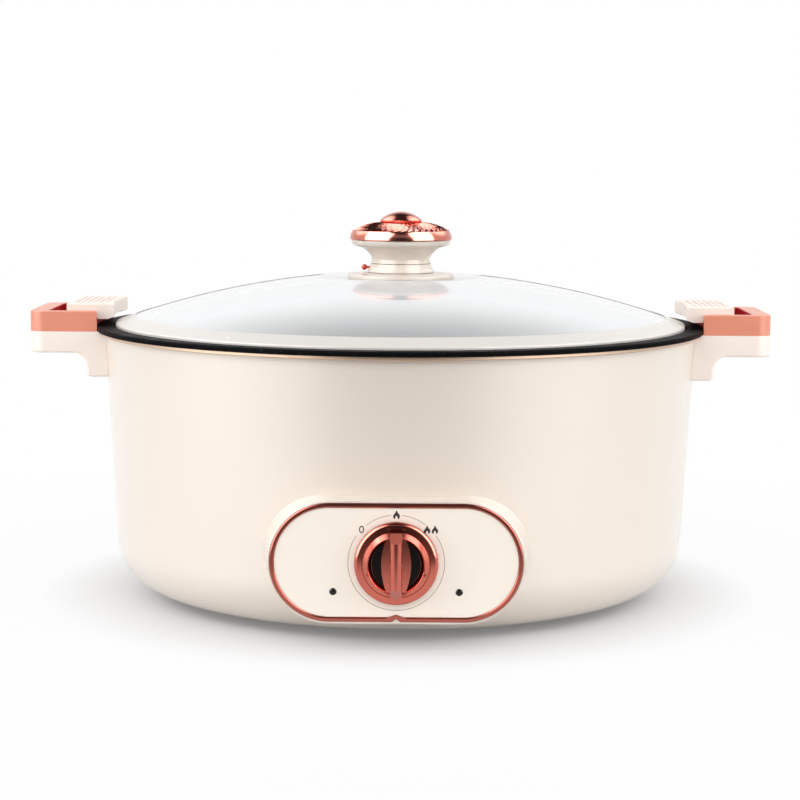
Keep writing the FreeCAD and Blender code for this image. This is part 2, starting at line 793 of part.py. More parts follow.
def pan_studs():
    top = number(pan_under)
    shoulder = number(S.shield_height + S.shield_wall)
    stud = rod(4.5, Vector(0, 0, shoulder), top - shoulder)
    thread = number(S.stud_thread)
    shank = rod(stud_radius, Vector(0, 0, shoulder - thread), thread + 1.0)
    stud = stud.fuse(shank).removeSplitter()
    stud.translate(Vector(number(stud_circle), 0, 0))
    return loose_solid("pan_studs", group([turned(stud, 120 * i + 30) for i in range(3)]))


def stud_nuts():
    hexagon = Part.makePolygon([
        Vector(4.6 * math.cos(math.radians(60 * i)), 4.6 * math.sin(math.radians(60 * i)), 0)
        for i in range(7)
    ])
    nut = Part.Face(hexagon).extrude(Vector(0, 0, 4.0))
    nut = nut.cut(rod(stud_radius + 0.05, Vector(0, 0, -1), 6.0))
    nut.translate(Vector(number(stud_circle), 0, number(S.shield_height) - 4.0))
    return loose_solid("stud_nuts", group([turned(nut, 120 * i + 30) for i in range(3)]))


def heat_shield():
    """A pressed dish: flat middle on the studs, flange on the shell's bosses."""
    low, high, wall = S.boss_top, S.shield_height, S.shield_wall
    flange = boss_circle + 4.6
    knee = stud_circle + 9.0
    body = turn_body("heat_shield", [
        (0.0, high),
        (knee, high),
        (knee + 4.0, low),
        (flange, low),
        (flange, low + wall),
        (knee + 4.6, low + wall),
        (knee + 0.6, high + wall),
        (0.0, high + wall),
    ])
    angles = [math.radians(120 * i + 30) for i in range(3)]
    spots = [(stud_circle * math.cos(a), stud_circle * math.sin(a)) for a in angles]
    drill(body, spots, stud_radius + S.seat_gap, back=True)
    leg = coil_radius * math.sin(math.radians(element_gap))
    deep = coil_radius * math.cos(math.radians(element_gap))
    drill(body, [(leg, -deep), (-leg, -deep)], S.tube_radius + 1.0, back=True)
    drill(body, four_corners(boss_circle), small_screw + S.seat_gap, back=True)
    return body


def shield_screws():
    start = Vector(number(boss_circle), 0, number(S.boss_top + S.shield_wall))
    length = start.z - number(boss_middle + 1.0)
    screw = pan_head_screw(small_screw, length, 3.0, 1.6, start, Vector(0, 0, -1))
    return loose_solid("shield_screws", group([turned(screw, 45 + 90 * i) for i in range(4)]))


def thermal_fuse():
    """A small sealed fuse that lies against the heating plate, with its two leads."""
    top = number(pan_under - S.plate_wall)
    radius = 2.6
    start = Vector(-9.0, -30.0, top - radius)
    shape = rod(radius, start, 18.0, Vector(1, 0, 0))
    for x in (-16.0, 9.0):
        shape = shape.fuse(rod(0.6, Vector(x, -30.0, top - radius), 7.0, Vector(1, 0, 0)))
    return loose_solid("thermal_fuse", shape.removeSplitter())


def fuse_clip():
    """A bent strap that presses the fuse against the plate, held by one screw."""
    top = number(pan_under - S.plate_wall)
    wall, radius = 0.8, 2.6 + 0.1
    strap = rod(radius + wall, Vector(-4.0, -30.0, top - radius + 0.1), 8.0, Vector(1, 0, 0))
    upper = Part.makeBox(8.0, 2 * (radius + wall), radius - 0.1)
    upper.translate(Vector(-4.0, -30.0 - radius - wall, top - radius + 0.1))
    tab = Part.makeBox(8.0, 10.0, wall)
    tab.translate(Vector(-4.0, -30.0 + radius, top - wall))
    shape = strap.fuse(upper).fuse(tab)
    shape = shape.cut(rod(radius, Vector(-5.0, -30.0, top - radius + 0.1), 10.0, Vector(1, 0, 0)))
    inside = Part.makeBox(10.0, 2 * radius, radius)
    inside.translate(Vector(-5.0, -30.0 - radius, top - radius + 0.1))
    shape = shape.cut(inside)
    above = Part.makeBox(20.0, 40.0, 10.0)
    above.translate(Vector(-10.0, -50.0, top))
    return loose_solid("fuse_clip", shape.cut(above).removeSplitter())


# ---------------------------------------------------------------- lid


def dome(radius, depth=0.0):
    """Height of the glass's sphere at a radius, or of the sphere inside it."""
    centre = S.rim_height + S.dome_rise - dome_radius
    ball = dome_radius - depth
    return centre + root(ball * ball - radius * radius)


glass_seat = dome(S.shoulder_radius) - S.seat_drop
lid_side_gap = 0.9
lid_under = ledge + S.moving_gap


def lid_glass():
    inner = dome_radius - S.glass_wall
    return turn_body("lid_glass", [
        (lid_bore, glass_seat),
        (lid_bore, glass_seat - S.glass_wall),
        (S.seat_radius, glass_seat - S.glass_wall),
        (S.shoulder_radius, dome(S.shoulder_radius, S.glass_wall)),
        (glass_radius, dome(glass_radius, S.glass_wall), inner, -1),
        (glass_radius, dome(glass_radius)),
        (S.shoulder_radius, dome(S.shoulder_radius), dome_radius, 1),
        (S.seat_radius, glass_seat),
    ])


def lid_rim():
    """The ring that grips the glass's edge and drops into the pan's mouth."""
    inside = lid_radius - S.rim_band
    spigot = mouth_radius - 0.6
    groove = glass_radius + S.screw_gap
    body = turn_body("lid_rim", [
        (lid_radius, lid_under),
        (lid_radius, lid_under + S.lid_edge),
        (inside, dome(inside) + 0.4),
        (inside, dome(inside)),
        (groove, dome(groove)),
        (groove, dome(groove, S.glass_wall)),
        (inside, dome(inside, S.glass_wall)),
        (inside, lid_under - 1.5),
        (spigot, lid_under - 1.5),
        (spigot, lid_under),
    ])
    soften(body, ring_at(lid_radius, lid_under + S.lid_edge), 0.9)
    soften(body, ring_at(lid_radius, lid_under), 0.5)
    return body


lid_bore = 5.0
stem_under = glass_seat + S.collar_rise
stem_top = stem_under + S.stem_rise
crown_under = stem_top + 0.1
flute_under = crown_under + S.crown_band
button_seat = flute_under + S.flute_rise - 1.2
screw_bore = S.lid_screw_radius + S.seat_gap


def knob_base():
    disc = 2.5
    body = turn_body("knob_base", [
        (screw_bore, glass_seat),
        (S.knob_base_radius, glass_seat),
        (S.knob_base_radius, glass_seat + 1.7),
        (S.collar_radius + 0.6, glass_seat + disc),
        (S.hub_radius, glass_seat + disc),
        (S.hub_radius, stem_under),
        (screw_bore, stem_under),
    ])
    soften(body, ring_at(S.knob_base_radius, glass_seat + 1.7), 0.7)
    return body


def vent_collar():
    """The ring that turns on the hub and opens the steam vent."""
    foot = glass_seat + 2.5 + S.moving_gap
    top = stem_under - S.moving_gap
    bore = S.hub_radius + S.running_gap
    body = turn_body("vent_collar", [
        (bore, foot),
        (S.collar_radius, foot),
        (S.collar_radius - 0.2, foot + 0.9),
        (S.waist_radius + 0.9, top, 9.0, -1),
        (bore, top),
    ])
    drill(body, [(0.0, lever_height)], lever_pin + S.screw_gap, role="YZ_Plane")
    return body


lever_pin = 0.7
lever_height = stem_under - 2.5


def vent_lever():
    """A red bead on a short pin that is pressed into the collar, on the pot's left."""
    bead = 1.65
    centre = S.collar_radius + 1.7
    inner_end = S.hub_radius + 1.5
    return turn_body("vent_lever", [
        (0.0, inner_end),
        (lever_pin, inner_end),
        (lever_pin, centre - math.sqrt(bead**2 - lever_pin**2)),
        (0.0, centre + bead, bead, 1),
    ], z=lever_height, turn=Rotation(Vector(0, 1, 0), -90))


def knob_stem():
    """The waisted neck that the fingers go round."""
    lip = S.stem_lip
    return turn_body("knob_stem", [
        (screw_bore, stem_under),
        (S.waist_radius + 0.6, stem_under),
        (S.waist_radius, stem_under + 2.2, 6.0, -1),
        (lip - 3.4, stem_top - 3.7, 10.5, -1),
        (lip - 2.6, stem_top - 3.4),
        (lip - 0.4, stem_top - 2.2, 2.4, 1),
        (lip, stem_top, 4.0, 1),
        (S.crown_radius - 4.4, stem_top),
        (S.crown_radius - 4.4, stem_top + 2.0),
        (button_spigot + 2.0, stem_top + 2.0),
        (button_spigot + 2.0, stem_top - 2.0),
        (screw_bore, stem_top - 2.0),
    ])


button_spigot = 4.0


def knob_crown():
    """The rose-gold crown: a smooth band below, twisted flutes on a shallow dome above."""
    outer = number(S.crown_radius)
    low = number(crown_under)
    band_top = number(flute_under)
    dome_outer, dome_inner = outer - 1.6, number(S.button_radius) + 0.9
    count = int(number(S.flute_count))
    rise, depth = number(S.flute_rise), number(S.flute_depth)
    twist = math.radians(number(S.flute_twist))
    rings = 5
    layers = []
    for ring in range(rings):
        inward = ring / (rings - 1)
        radius = dome_outer + (dome_inner - dome_outer) * inward
        lift = rise * (1 - (1 - inward) ** 1.8)
        cut = depth * math.sin(math.pi * (0.12 + 0.76 * inward))
        layer = []
        for step in range(2 * count):
            angle = math.pi * step / count + twist * inward
            sink = cut if step % 2 else 0.0
            layer.append(
                Vector(
                    radius * math.cos(angle), radius * math.sin(angle), band_top + lift - sink
                )
            )
        layers.append(layer)
    seat = number(button_seat)
    rim = [Vector(v.x, v.y, band_top - 0.6) for v in layers[0]]
    well = [Vector(v.x * 0.82, v.y * 0.82, seat) for v in layers[-1]]
    faces = []

    def triangle(*points):
        faces.append(Part.Face(Part.makePolygon([*points, points[0]])))

    for lower, upper in zip([rim, *layers], [*layers, well]):
        for i in range(2 * count):
            j = (i + 1) % (2 * count)
            triangle(lower[i], lower[j], upper[j])
            triangle(lower[i], upper[j], upper[i])
    faces.append(Part.Face(Part.makePolygon([*rim, rim[0]])))
    faces.append(Part.Face(Part.makePolygon([*well, well[0]])))
    shell = Part.makeShell(faces)
    shell.sewShape()
    fluted = Part.makeSolid(shell)
    if fluted.Volume < 0:
        fluted.reverse()
    register = number(S.crown_radius - 4.4 + S.seat_gap)
    outline = [
        Vector(0, 0, low + 2.1), Vector(register, 0, low + 2.1), Vector(register, 0, low),
        Vector(outer - 0.3, 0, low), Vector(outer, 0, low + 0.5),
    ]
    edges = [Part.makeLine(a, b) for a, b in zip(outline, outline[1:])]
    bulge = Vector(outer - 0.45, 0, (low + 0.5 + band_top) / 2)
    corner = Vector(dome_outer + 0.1, 0, band_top)
    edges.append(Part.Arc(outline[-1], bulge, corner).toShape())
    edges.append(Part.makeLine(corner, Vector(0, 0, band_top)))
    edges.append(Part.makeLine(Vector(0, 0, band_top), outline[0]))
    band = Part.Face(Part.Wire(edges)).revolve(Vector(0, 0, 0), Vector(0, 0, 1), 360)
    bore = rod(button_spigot + 0.05, Vector(0, 0, low - 1), 20.0)
    shape = band.fuse(fluted).cut(bore).removeSplitter()
    return loose_solid("knob_crown", shape)


def knob_button():
    """The domed finial, with the spigot that holds it in the crown."""
    equator = button_seat + 2.5
    top = button_seat + S.button_rise
    height = top - equator
    ball = (S.button_radius * S.button_radius + height * height) / (height * 2)
    return turn_body("knob_button", [
        (0.0, crown_under + 0.5),
        (button_spigot, crown_under + 0.5),
        (button_spigot, button_seat + 0.1),
        (S.button_radius - 2.8, button_seat + 0.1),
        (S.button_radius, equator, 2.8, 1),
        (0.0, top, ball, 1),
    ])


def lid_fixings():
    """The screw, steel washer and silicone washer under the glass."""
    under = number(glass_seat - S.glass_wall)
    radius = number(S.lid_screw_radius)
    soft = rod(11.0, Vector(0, 0, under - 1.5), 1.5)
    soft = soft.fuse(rod(lid_bore - 0.1, Vector(0, 0, under - 0.5), 3.5))
    soft = soft.cut(rod(radius + 0.1, Vector(0, 0, under - 3), 10.0))
    loose_solid("silicone_washer", soft.removeSplitter())
    steel = rod(9.5, Vector(0, 0, under - 2.5), 1.0)
    steel = steel.cut(rod(radius + 0.1, Vector(0, 0, under - 3), 10.0))
    loose_solid("steel_washer", steel)
    reach = number(stem_top) - 3.0 - (under - 2.5)
    screw = pan_head_screw(radius, reach, 5.0, 2.6, Vector(0, 0, under - 2.5), Vector(0, 0, 1))
    loose_solid("lid_screw", screw)


# ---------------------------------------------------------------- handles and latches

handle_screw_y = 12.0
handle_screw_z = grip_under - 4.0
handle_screw_radius = 2.0
frame_screw_y = 21.0
frame_top = frame_under + S.frame_rise
frame_inside = S.handle_half - S.frame_side
frame_stop = handle_reach - S.frame_end
frame_bite = 6.0  # how deep a frame screw goes into the frame
cell_cover = 3.5  # thickness of the grip's top over its cells
latch_half = frame_inside - S.moving_gap
latch_nose = lid_radius + 0.6
latch_front = root(latch_nose * latch_nose - latch_half * latch_half)
latch_back = frame_stop - S.slot_length
rim_clear = S.rim_radius + 0.4
scoop_reach = handle_reach - S.grip_depth

# The root's outer side leans out and runs into the scoop without a kink.
lean_long = root(S.root_lean * S.root_lean + 1)
scoop_x = scoop_reach - S.scoop_radius / lean_long
scoop_z = grip_under - S.scoop_radius + S.scoop_radius * S.root_lean / lean_long
root_reach = scoop_x - S.root_lean * (scoop_z - root_under)


def clear_of_pot(gap, top):
    """Section of everything that a handle stands clear of: wall, band and rim."""
    low = root_under - 20.0
    band = S.rim_radius - S.band_inset + S.seat_gap
    return [
        (0.0, low),
        (shell_radius(low, gap), low),
        (shell_radius(shell_top, gap), shell_top),
        (band, shell_top),
        (band, rim_under - S.seat_gap),
        (rim_clear, rim_under - S.seat_gap),
        (rim_clear, top),
        (0.0, top),
    ]


def hollow_of_pot(body):
    outline = clear_of_pot(S.screw_gap, frame_top + 20.0)
    feature(body, "Groove", draw_outline(new_sketch(body, "XZ_Plane"), outline))


def handle_body(label, turn):
    """Root and scooped grip, with hollow cells under the grip."""
    body = new_body(label, turn=turn)
    inner = shell_radius(root_under) - 12.0
    corner = S.root_corner
    foot = root_reach - corner * (lean_long - S.root_lean)
    profile = [
        (inner, root_under),
        (foot, root_under),
        (foot + corner / lean_long, root_under + corner - corner * S.root_lean / lean_long,
         corner, 1),
        (scoop_x, scoop_z),
        (scoop_reach, grip_under, S.scoop_radius, -1),
        (handle_reach, grip_under),
        (handle_reach, frame_under),
        (inner, frame_under),
    ]
    made = pad(body, profile, S.handle_half * 2, role="XZ_Plane")
    made.SideType = "Symmetric"
    soften(body, upright_at(handle_reach, S.handle_half), S.handle_corner)
    soften(body, flat_at(grip_under), 1.2)
    # three cells under the grip leave two ribs
    edge = S.handle_half - 3.0
    cell_start, cell_end = scoop_reach + 1.2, handle_reach - 3.0
    cell_roof = frame_under - cell_cover
    cell_depth = cell_roof - root_under
    for low, high in ((-edge, -10.5), (-9.0, 9.0), (10.5, edge)):
        pocket(body, box_corners(cell_start, cell_end, low, high), cell_depth, offset=cell_roof)
    hollow_of_pot(body)
    spots = [(side * handle_screw_y, handle_screw_z) for side in (-1, 1)]
    deep = handle_screw_end + 1.5
    drill(body, spots, handle_screw_radius + S.screw_gap, deep, role="YZ_Plane", back=True)
    spots = [(frame_screw_x, side * frame_screw_y) for side in (-1, 1)]
    drill(body, spots, small_screw + S.seat_gap, offset=root_under, back=True)
    return body


frame_screw_x = handle_reach - 6.0
handle_screw_end = scoop_reach - 4.0


def latch_track(label, turn):
    """The tray that fills the frame's U, carries the latch and lines the slot behind it."""
    body = new_body(label, turn=turn)
    half, stop = frame_inside - 0.02, frame_stop - 0.02
    track = box_corners(S.rim_radius - 14.0, stop, -half, half)
    pad(body, track, frame_top - 0.3 - frame_under, offset=frame_under)
    soften(body, upright_at(stop, half), 2.0 - 0.02)
    deck = latch_under - S.latch_float
    inner = half - S.track_lining
    pocket(body, box_corners(latch_back + 0.5, stop - S.track_lining, -inner, inner),
           frame_top - deck, offset=frame_top)
    pocket(body, box_corners(S.rim_radius - 15.0, latch_back + 0.6, -half - 1.0, half + 1.0),
           frame_top - deck, offset=frame_top)
    hollow_of_pot(body)
    return body


def handle_frame(label, turn):
    """The orange U round the latch, with a groove along each side wall for its tongues."""
    body = new_body(label, turn=turn)
    inner = S.rim_radius - 14.0
    pad(body, [
        (inner, -S.handle_half),
        (handle_reach, -S.handle_half),
        (handle_reach, S.handle_half),
        (inner, S.handle_half),
        (inner, frame_inside),
        (frame_stop, frame_inside),
        (frame_stop, -frame_inside),
        (inner, -frame_inside),
    ], S.frame_rise, offset=frame_under)
    soften(body, upright_at(handle_reach, S.handle_half), S.handle_corner)
    soften(body, upright_at(frame_stop, frame_inside), 2.0)
    reach = latch_half + S.tongue_reach + 0.4
    top = tongue_under + tongue_rise + S.moving_gap
    groove = box_corners(inner - 5.0, frame_stop - 1.5, -reach, reach)
    pocket(body, groove, tongue_rise + S.moving_gap * 2, offset=top)
    hollow_of_pot(body)
    spots = [(frame_screw_x, side * frame_screw_y) for side in (-1, 1)]
    drill(body, spots, small_screw + S.screw_gap, frame_bite + 1.0, offset=frame_under,
          back=True)
    soften(body, flat_at(frame_top), 0.6)
    return body


tongue_under = latch_under + 0.5
tongue_rise = 1.6


def latch(label, turn):
    """The ribbed block that slides over the lid's edge; its nose follows the lid."""
    body = new_body(label, turn=turn)
    pad(body, [
        (latch_back, -latch_half),
        (latch_back, latch_half),
        (latch_front, latch_half),
        (latch_front, -latch_half, latch_nose, -1),
    ], S.latch_rise, offset=latch_under)
    soften(body, flat_at(latch_under + S.latch_rise), 1.0)
    # the chin hangs below in front of the track and has the nose's plan
    chin_back = root(rim_clear * rim_clear - latch_half * latch_half) - S.moving_gap * 2
    pad(body, [
        (chin_back, -latch_half),
        (chin_back, latch_half),
        (latch_front, latch_half),
        (latch_front, -latch_half, latch_nose, -1),
    ], S.latch_chin + 0.5, offset=latch_under - S.latch_chin)
    # the underside is hollowed to the lid's own shape, as the lid lies when the latch is in
    relief = new_sketch(body, "XZ_Plane")
    relief.AttachmentOffset = Placement(Vector(number(S.latch_travel), 0, 0), Rotation())
    bind(relief, "AttachmentOffset.Base.x", S.latch_travel)
    inside = lid_radius - S.rim_band
    edge_top = lid_under + S.lid_edge + S.latch_play
    low = latch_under - S.latch_chin - 2.0
    feature(body, "Groove", draw_outline(relief, [
        (0.0, low),
        (lid_radius, low),
        (lid_radius, edge_top),
        (inside, dome(inside) + 0.4 + S.latch_play),
        (0.0, dome(inside) + 0.4 + S.latch_play),
    ]))
    tongue = box_corners(latch_back - S.tongue_length, latch_back,
                         -(latch_half + S.tongue_reach), latch_half + S.tongue_reach)
    pad(body, tongue, tongue_rise, offset=tongue_under)
    groove_half = latch_half - 3.5
    first = latch_nose + 2.6
    pitch = (latch_back - first - 1.6) / S.ridge_count
    groove = pocket(body, box_corners(first, first + pitch * 0.45, -groove_half, groove_half), 1.1,
                    offset=latch_under + S.latch_rise)
    pattern = body.newObject("PartDesign::LinearPattern", f"{label}_ridges")
    pattern.Originals = [groove]
    axis = next(f for f in body.Origin.OriginFeatures if f.Role == "X_Axis")
    pattern.Direction = (axis, [""])
    pattern.Occurrences = int(number(S.ridge_count))
    bind(pattern, "Occurrences", S.ridge_count)
    span = pitch * (S.ridge_count - 1)
    pattern.Length = number(span)
    bind(pattern, "Length", span)
    body.Tip = pattern
    return body


def handle_screws(label, turn):
    """Two screws from inside the shell into the handle's root."""
    start = number(shell_radius(handle_screw_z, -S.shell_wall)) - 1.0
    length = number(handle_screw_end) - start
    shapes = [
        pan_head_screw(handle_screw_radius, length, 3.6, 2.4,
                       Vector(start, side * handle_screw_y, number(handle_screw_z)),
                       Vector(1, 0, 0))
        for side in (-1, 1)
    ]
    return loose_solid(label, group(shapes), turn=turn)


def frame_screws(label, turn):
    """Two screws from under the grip up into the frame."""
    bearing = number(frame_under) - cell_cover
    shapes = [
        pan_head_screw(small_screw, cell_cover + frame_bite, 2.8, 1.8,
                       Vector(number(frame_screw_x), side * frame_screw_y, bearing),
                       Vector(0, 0, 1))
        for side in (-1, 1)
    ]
    return loose_solid(label, group(shapes), turn=turn)


# ---------------------------------------------------------------- control panel

recess_floor = panel_reach - 2.4
wall_inside = recess_floor - S.panel_wall
face_front = panel_reach - 0.1
lamp_spots = [(side * S.lamp_offset, S.panel_height - S.lamp_drop) for side in (-1, 1)]
bushing_hole = S.bushing_radius + S.screw_gap


def cut_to_shell(body):
    """Takes away all that would lie inside the shell's outer face."""
    outline = wall_and_bend(S.screw_gap, base - S.screw_gap, S.shell_corner)
    top = S.rim_height + 10.0
    corners = [(0.0, top), (shell_radius(top, S.screw_gap), top), *outline[1:], (0.0, base - 5.0)]
    corners[-1:] = [(outline[2][0], base - 5.0), (0.0, base - 5.0)]
    feature(body, "Groove", draw_outline(new_sketch(body, "XY_Plane"), corners))


def panel_housing():
    body = new_body("panel_housing", turn=FRONT)
    half, radius = S.panel_half, S.panel_radius + S.panel_bevel
    back = shell_base_radius - 21.4

    def section(offset, grow, inset=0.0):
        sketch = new_sketch(body, offset=offset)
        end = radius + S.panel_draft * grow - inset
        return draw_outline(sketch, stadium(half + S.panel_flare * grow, end, S.panel_height))

    loft(body, "AdditiveLoft", section(panel_reach, 0.0), section(back, 1.0))
    inner = section(wall_inside, 0.0, S.panel_wall)
    loft(body, "SubtractiveLoft", inner, section(back - 1.0, 1.0, S.panel_wall))
    spots = [(side * panel_screw_x, S.panel_height) for side in (-1, 1)]
    boss_front = wall_inside + 0.5
    studs(body, spots, 4.0, boss_front - back, offset=boss_front, back=True)
    studs(body, lamp_spots, lamp_bulb + 1.6, 7.0, offset=boss_front, back=True)
    cut_to_shell(body)
    bore_front = wall_inside - 1.0
    drill(body, spots, small_screw + S.screw_gap, bore_front - back, offset=bore_front)
    drill(body, lamp_spots, lamp_bulb + 0.15, 20.0, offset=wall_inside)
    drill(body, lamp_spots, S.lamp_radius + 0.6, 10.0, offset=panel_reach)
    drill(body, [(0.0, S.panel_height)], bushing_hole, 10.0, offset=panel_reach)
    recess = stadium(half, S.panel_radius + S.seat_gap / 2, S.panel_height,
                     S.notch_half, S.notch_rise)
    pocket(body, recess, 2.4, offset=panel_reach)
    soften(body, outer_front_edge(half + radius), 0.5, "Chamfer")
    return body


def outer_front_edge(reach):
    """Picks the housing's outer front edge: it lies in the face and outside the recess."""

    def wanted(edge):
        box = edge.BoundBox
        if not (near(box.ZMin, panel_reach) and near(box.ZMax, panel_reach)):
            return False
        spot = edge.valueAt((edge.FirstParameter + edge.LastParameter) / 2)
        radius = number(S.panel_radius + S.panel_bevel)
        beyond = max(abs(spot.x) - number(S.panel_half), 0.0)
        away = math.hypot(beyond, spot.y - number(S.panel_height))
        return abs(away - radius) < 0.3

    return wanted


def panel_trim():
    body = new_body("panel_trim", turn=FRONT)
    outside = stadium(S.panel_half, S.panel_radius, S.panel_height, S.notch_half + 0.2,
                      S.notch_rise + 0.2)
    front = recess_floor + 3.0
    pad(body, outside, 3.0, offset=recess_floor)
    inner = S.panel_radius - S.trim_width
    inside = stadium(S.panel_half, inner, S.panel_height, S.notch_half + 1.4, S.notch_rise - 0.6)
    pocket(body, inside, None, offset=recess_floor, back=True)
    soften(body, lambda e: flat_at_front(e, front), 0.7)
    return body


def flat_at_front(edge, height):
    """Picks the trim's long front edges and leaves out the small ones of its notch."""
    return flat_at(height)(edge) and edge.Length > 6.0


def panel_face():
    body = new_body("panel_face", turn=FRONT)
    inner = S.panel_radius - S.trim_width - S.seat_gap / 2
    outline = stadium(S.panel_half, inner, S.panel_height, S.notch_half + 1.6, S.notch_rise - 0.5)
    pad(body, outline, face_front - recess_floor, offset=recess_floor)
    drill(body, [(0.0, S.panel_height)], S.bushing_radius + S.seat_gap, offset=recess_floor, back=True)
    drill(body, lamp_spots, S.lamp_radius, offset=recess_floor, back=True)
    return body


def lamp_lens(label, side):
    """A domed lens that stands a little proud of the face."""
    radius = S.lamp_radius - 0.05
    bulge = 0.5
    ball = (radius * radius + bulge * bulge) / (bulge * 2)
    back = wall_inside - panel_reach
    return turn_body(label, [
        (0.0, back), (S.lamp_radius + 0.5, back), (S.lamp_radius + 0.5, -2.5),
        (radius, -2.5), (radius, 0.0), (0.0, bulge, ball, 1),
    ], x=side * S.lamp_offset, y=-panel_reach, z=S.panel_height - S.lamp_drop, turn=FRONT)


def neon_lamp(label, side):
    """A glass neon bulb in the housing's holder, with its resistor leads pointing back."""
    front = number(wall_inside - panel_reach) - 0.1
    length, lead = number(S.lamp_length), number(S.lamp_lead)
    bulb = rod(lamp_bulb, Vector(0, 0, front - length), length)
    bulb = bulb.makeFillet(1.0, [bulb.Edges[0]])
    for x in (-1.0, 1.0):
        bulb = bulb.fuse(rod(0.4, Vector(x, 0, front - length - lead), lead + 0.5))
    return loose_solid(label, bulb.removeSplitter(), x=side * S.lamp_offset, y=-panel_reach,
                       z=S.panel_height - S.lamp_drop, turn=FRONT)


def panel_screws():
    start = number(panel_pad_y)
    length = number(wall_inside - 4.9) - start
    shapes = [
        pan_head_screw(small_screw, length, 3.2, 2.2,
                       Vector(side * number(panel_screw_x), number(S.panel_height), start),
                       Vector(0, 0, 1))
        for side in (-1, 1)
    ]
    return loose_solid("panel_screws", group(shapes), turn=FRONT)


# ---------------------------------------------------------------- dial and thermostat

shaft_top = 10.0


def arc_through(half, middle, end):
    """Radius of the arc that bulges from end to middle over half a chord."""
    rise = middle - end
    return (half * half + rise * rise) / (rise * 2)


grip_end_y = S.bowl_radius + 0.9  # where the grip's foot runs into the drum
grip_curve = arc_through(grip_end_y, S.grip_half, S.grip_end)
bowl_floor = 4.6


def dial_knob():
    """The dial: bevelled rim, groove, drum with a bowl, and a tall blade on a lens-shaped foot."""
    edge, drum, lip = S.dial_radius, S.drum_radius, S.lip_radius
    body = new_body("dial_knob", y=-panel_reach, z=S.panel_height, turn=FRONT)
    under = 0.6
    bore = S.shaft_radius + 0.05
    profile = [
        (bore, 3.6),
        (9.5, 3.6),
        (9.5, under),
        (edge, under),
        (edge, under + 1.6),
        (edge - 1.4, under + 3.2, 1.9, 1),
        (drum + 0.2, under + 3.4),
        (drum, under + 2.8),
        (drum - 0.4, under + 2.8),
        (drum - 0.5, under + 4.8),
        (lip + 0.3, S.drum_rise),
        (lip - 0.2, S.drum_rise - 0.2, 0.5, 1),
        (S.bowl_radius, bowl_floor),
        (bore, bowl_floor),
    ]
    feature(body, "Revolution", draw_outline(new_sketch(body, "XZ_Plane"), profile))
    foot = [
        (S.grip_end, -grip_end_y),
        (S.grip_end, grip_end_y, grip_curve, 1),
        (-S.grip_end, grip_end_y),
        (-S.grip_end, -grip_end_y, grip_curve, 1),
    ]
    pad(body, foot, S.drum_rise - 0.3 - bowl_floor + 0.2, offset=bowl_floor - 0.2)
    # the blade is an arch drawn along the dial, then tapered in plan and in side view
    blade = S.blade_half
    ridge = S.dial_rise - blade
    blade_up, blade_down = drum - 0.4, drum + 0.4
    arch = [(-blade, bowl_floor), (blade, bowl_floor), (blade, ridge),
            (0.0, S.dial_rise, blade, 1), (-blade, ridge, blade, 1)]
    pad(body, arch, blade_up + blade_down, offset=blade_down, role="XZ_Plane", back=True)
    wide, clear = blade + 0.6, S.drum_rise + 0.1
    taper = (wide / blade) * 4.0
    point = [(0.0, -blade_down), (-wide, -blade_down + taper), (-wide, -blade_down - 1.0),
             (wide, -blade_down - 1.0), (wide, -blade_down + taper)]
    pocket(body, point, S.dial_rise - clear, offset=S.dial_rise)
    over = S.dial_rise + 1.0
    upper = [(blade_up + 0.3, clear), (blade_up + 2.0, clear), (blade_up + 2.0, over),
             (blade_up - 4.2, over)]
    lower = [(-blade_down + 0.2, clear), (-blade_down + 7.5, over), (-blade_down - 2.0, over),
             (-blade_down - 2.0, clear)]
    for wedge in (upper, lower):
        made = pocket(body, wedge, wide * 2, role="YZ_Plane")
        made.SideType = "Symmetric"
    # the pointer's slot in the rim, and the bore for the shaft
    slot = box_corners(-4.7, 4.7, drum - 0.2, drum + 0.9)
    pocket(body, slot, 1.0, offset=under + 3.4)
    drill(body, [(0.0, 0.0)], bore, shaft_top + 0.6, back=True)
    return body


def dial_inserts():
    """Two dark crescents on the floor of the dial's bowl, one on each side of the grip."""
    gap = 0.15
    disc = rod(S.bowl_radius - gap, Vector(0, 0, bowl_floor + 0.05), 0.7)
    curve = number(grip_curve)
    centre = Vector(curve - number(S.grip_half), 0, 0)
    left, right = rod(curve + gap, centre, 20.0), rod(curve + gap, -centre, 20.0)
    return loose_solid("dial_inserts", disc.cut(left.common(right)), y=-panel_reach,
                       z=S.panel_height, turn=FRONT)


def thermostat_shaft():
    radius = number(S.shaft_radius)
    shape = rod(radius, Vector(0, 0, -21.0), shaft_top + 21.0)
    return loose_solid("thermostat_shaft", shape, y=-panel_reach, z=S.panel_height, turn=FRONT)


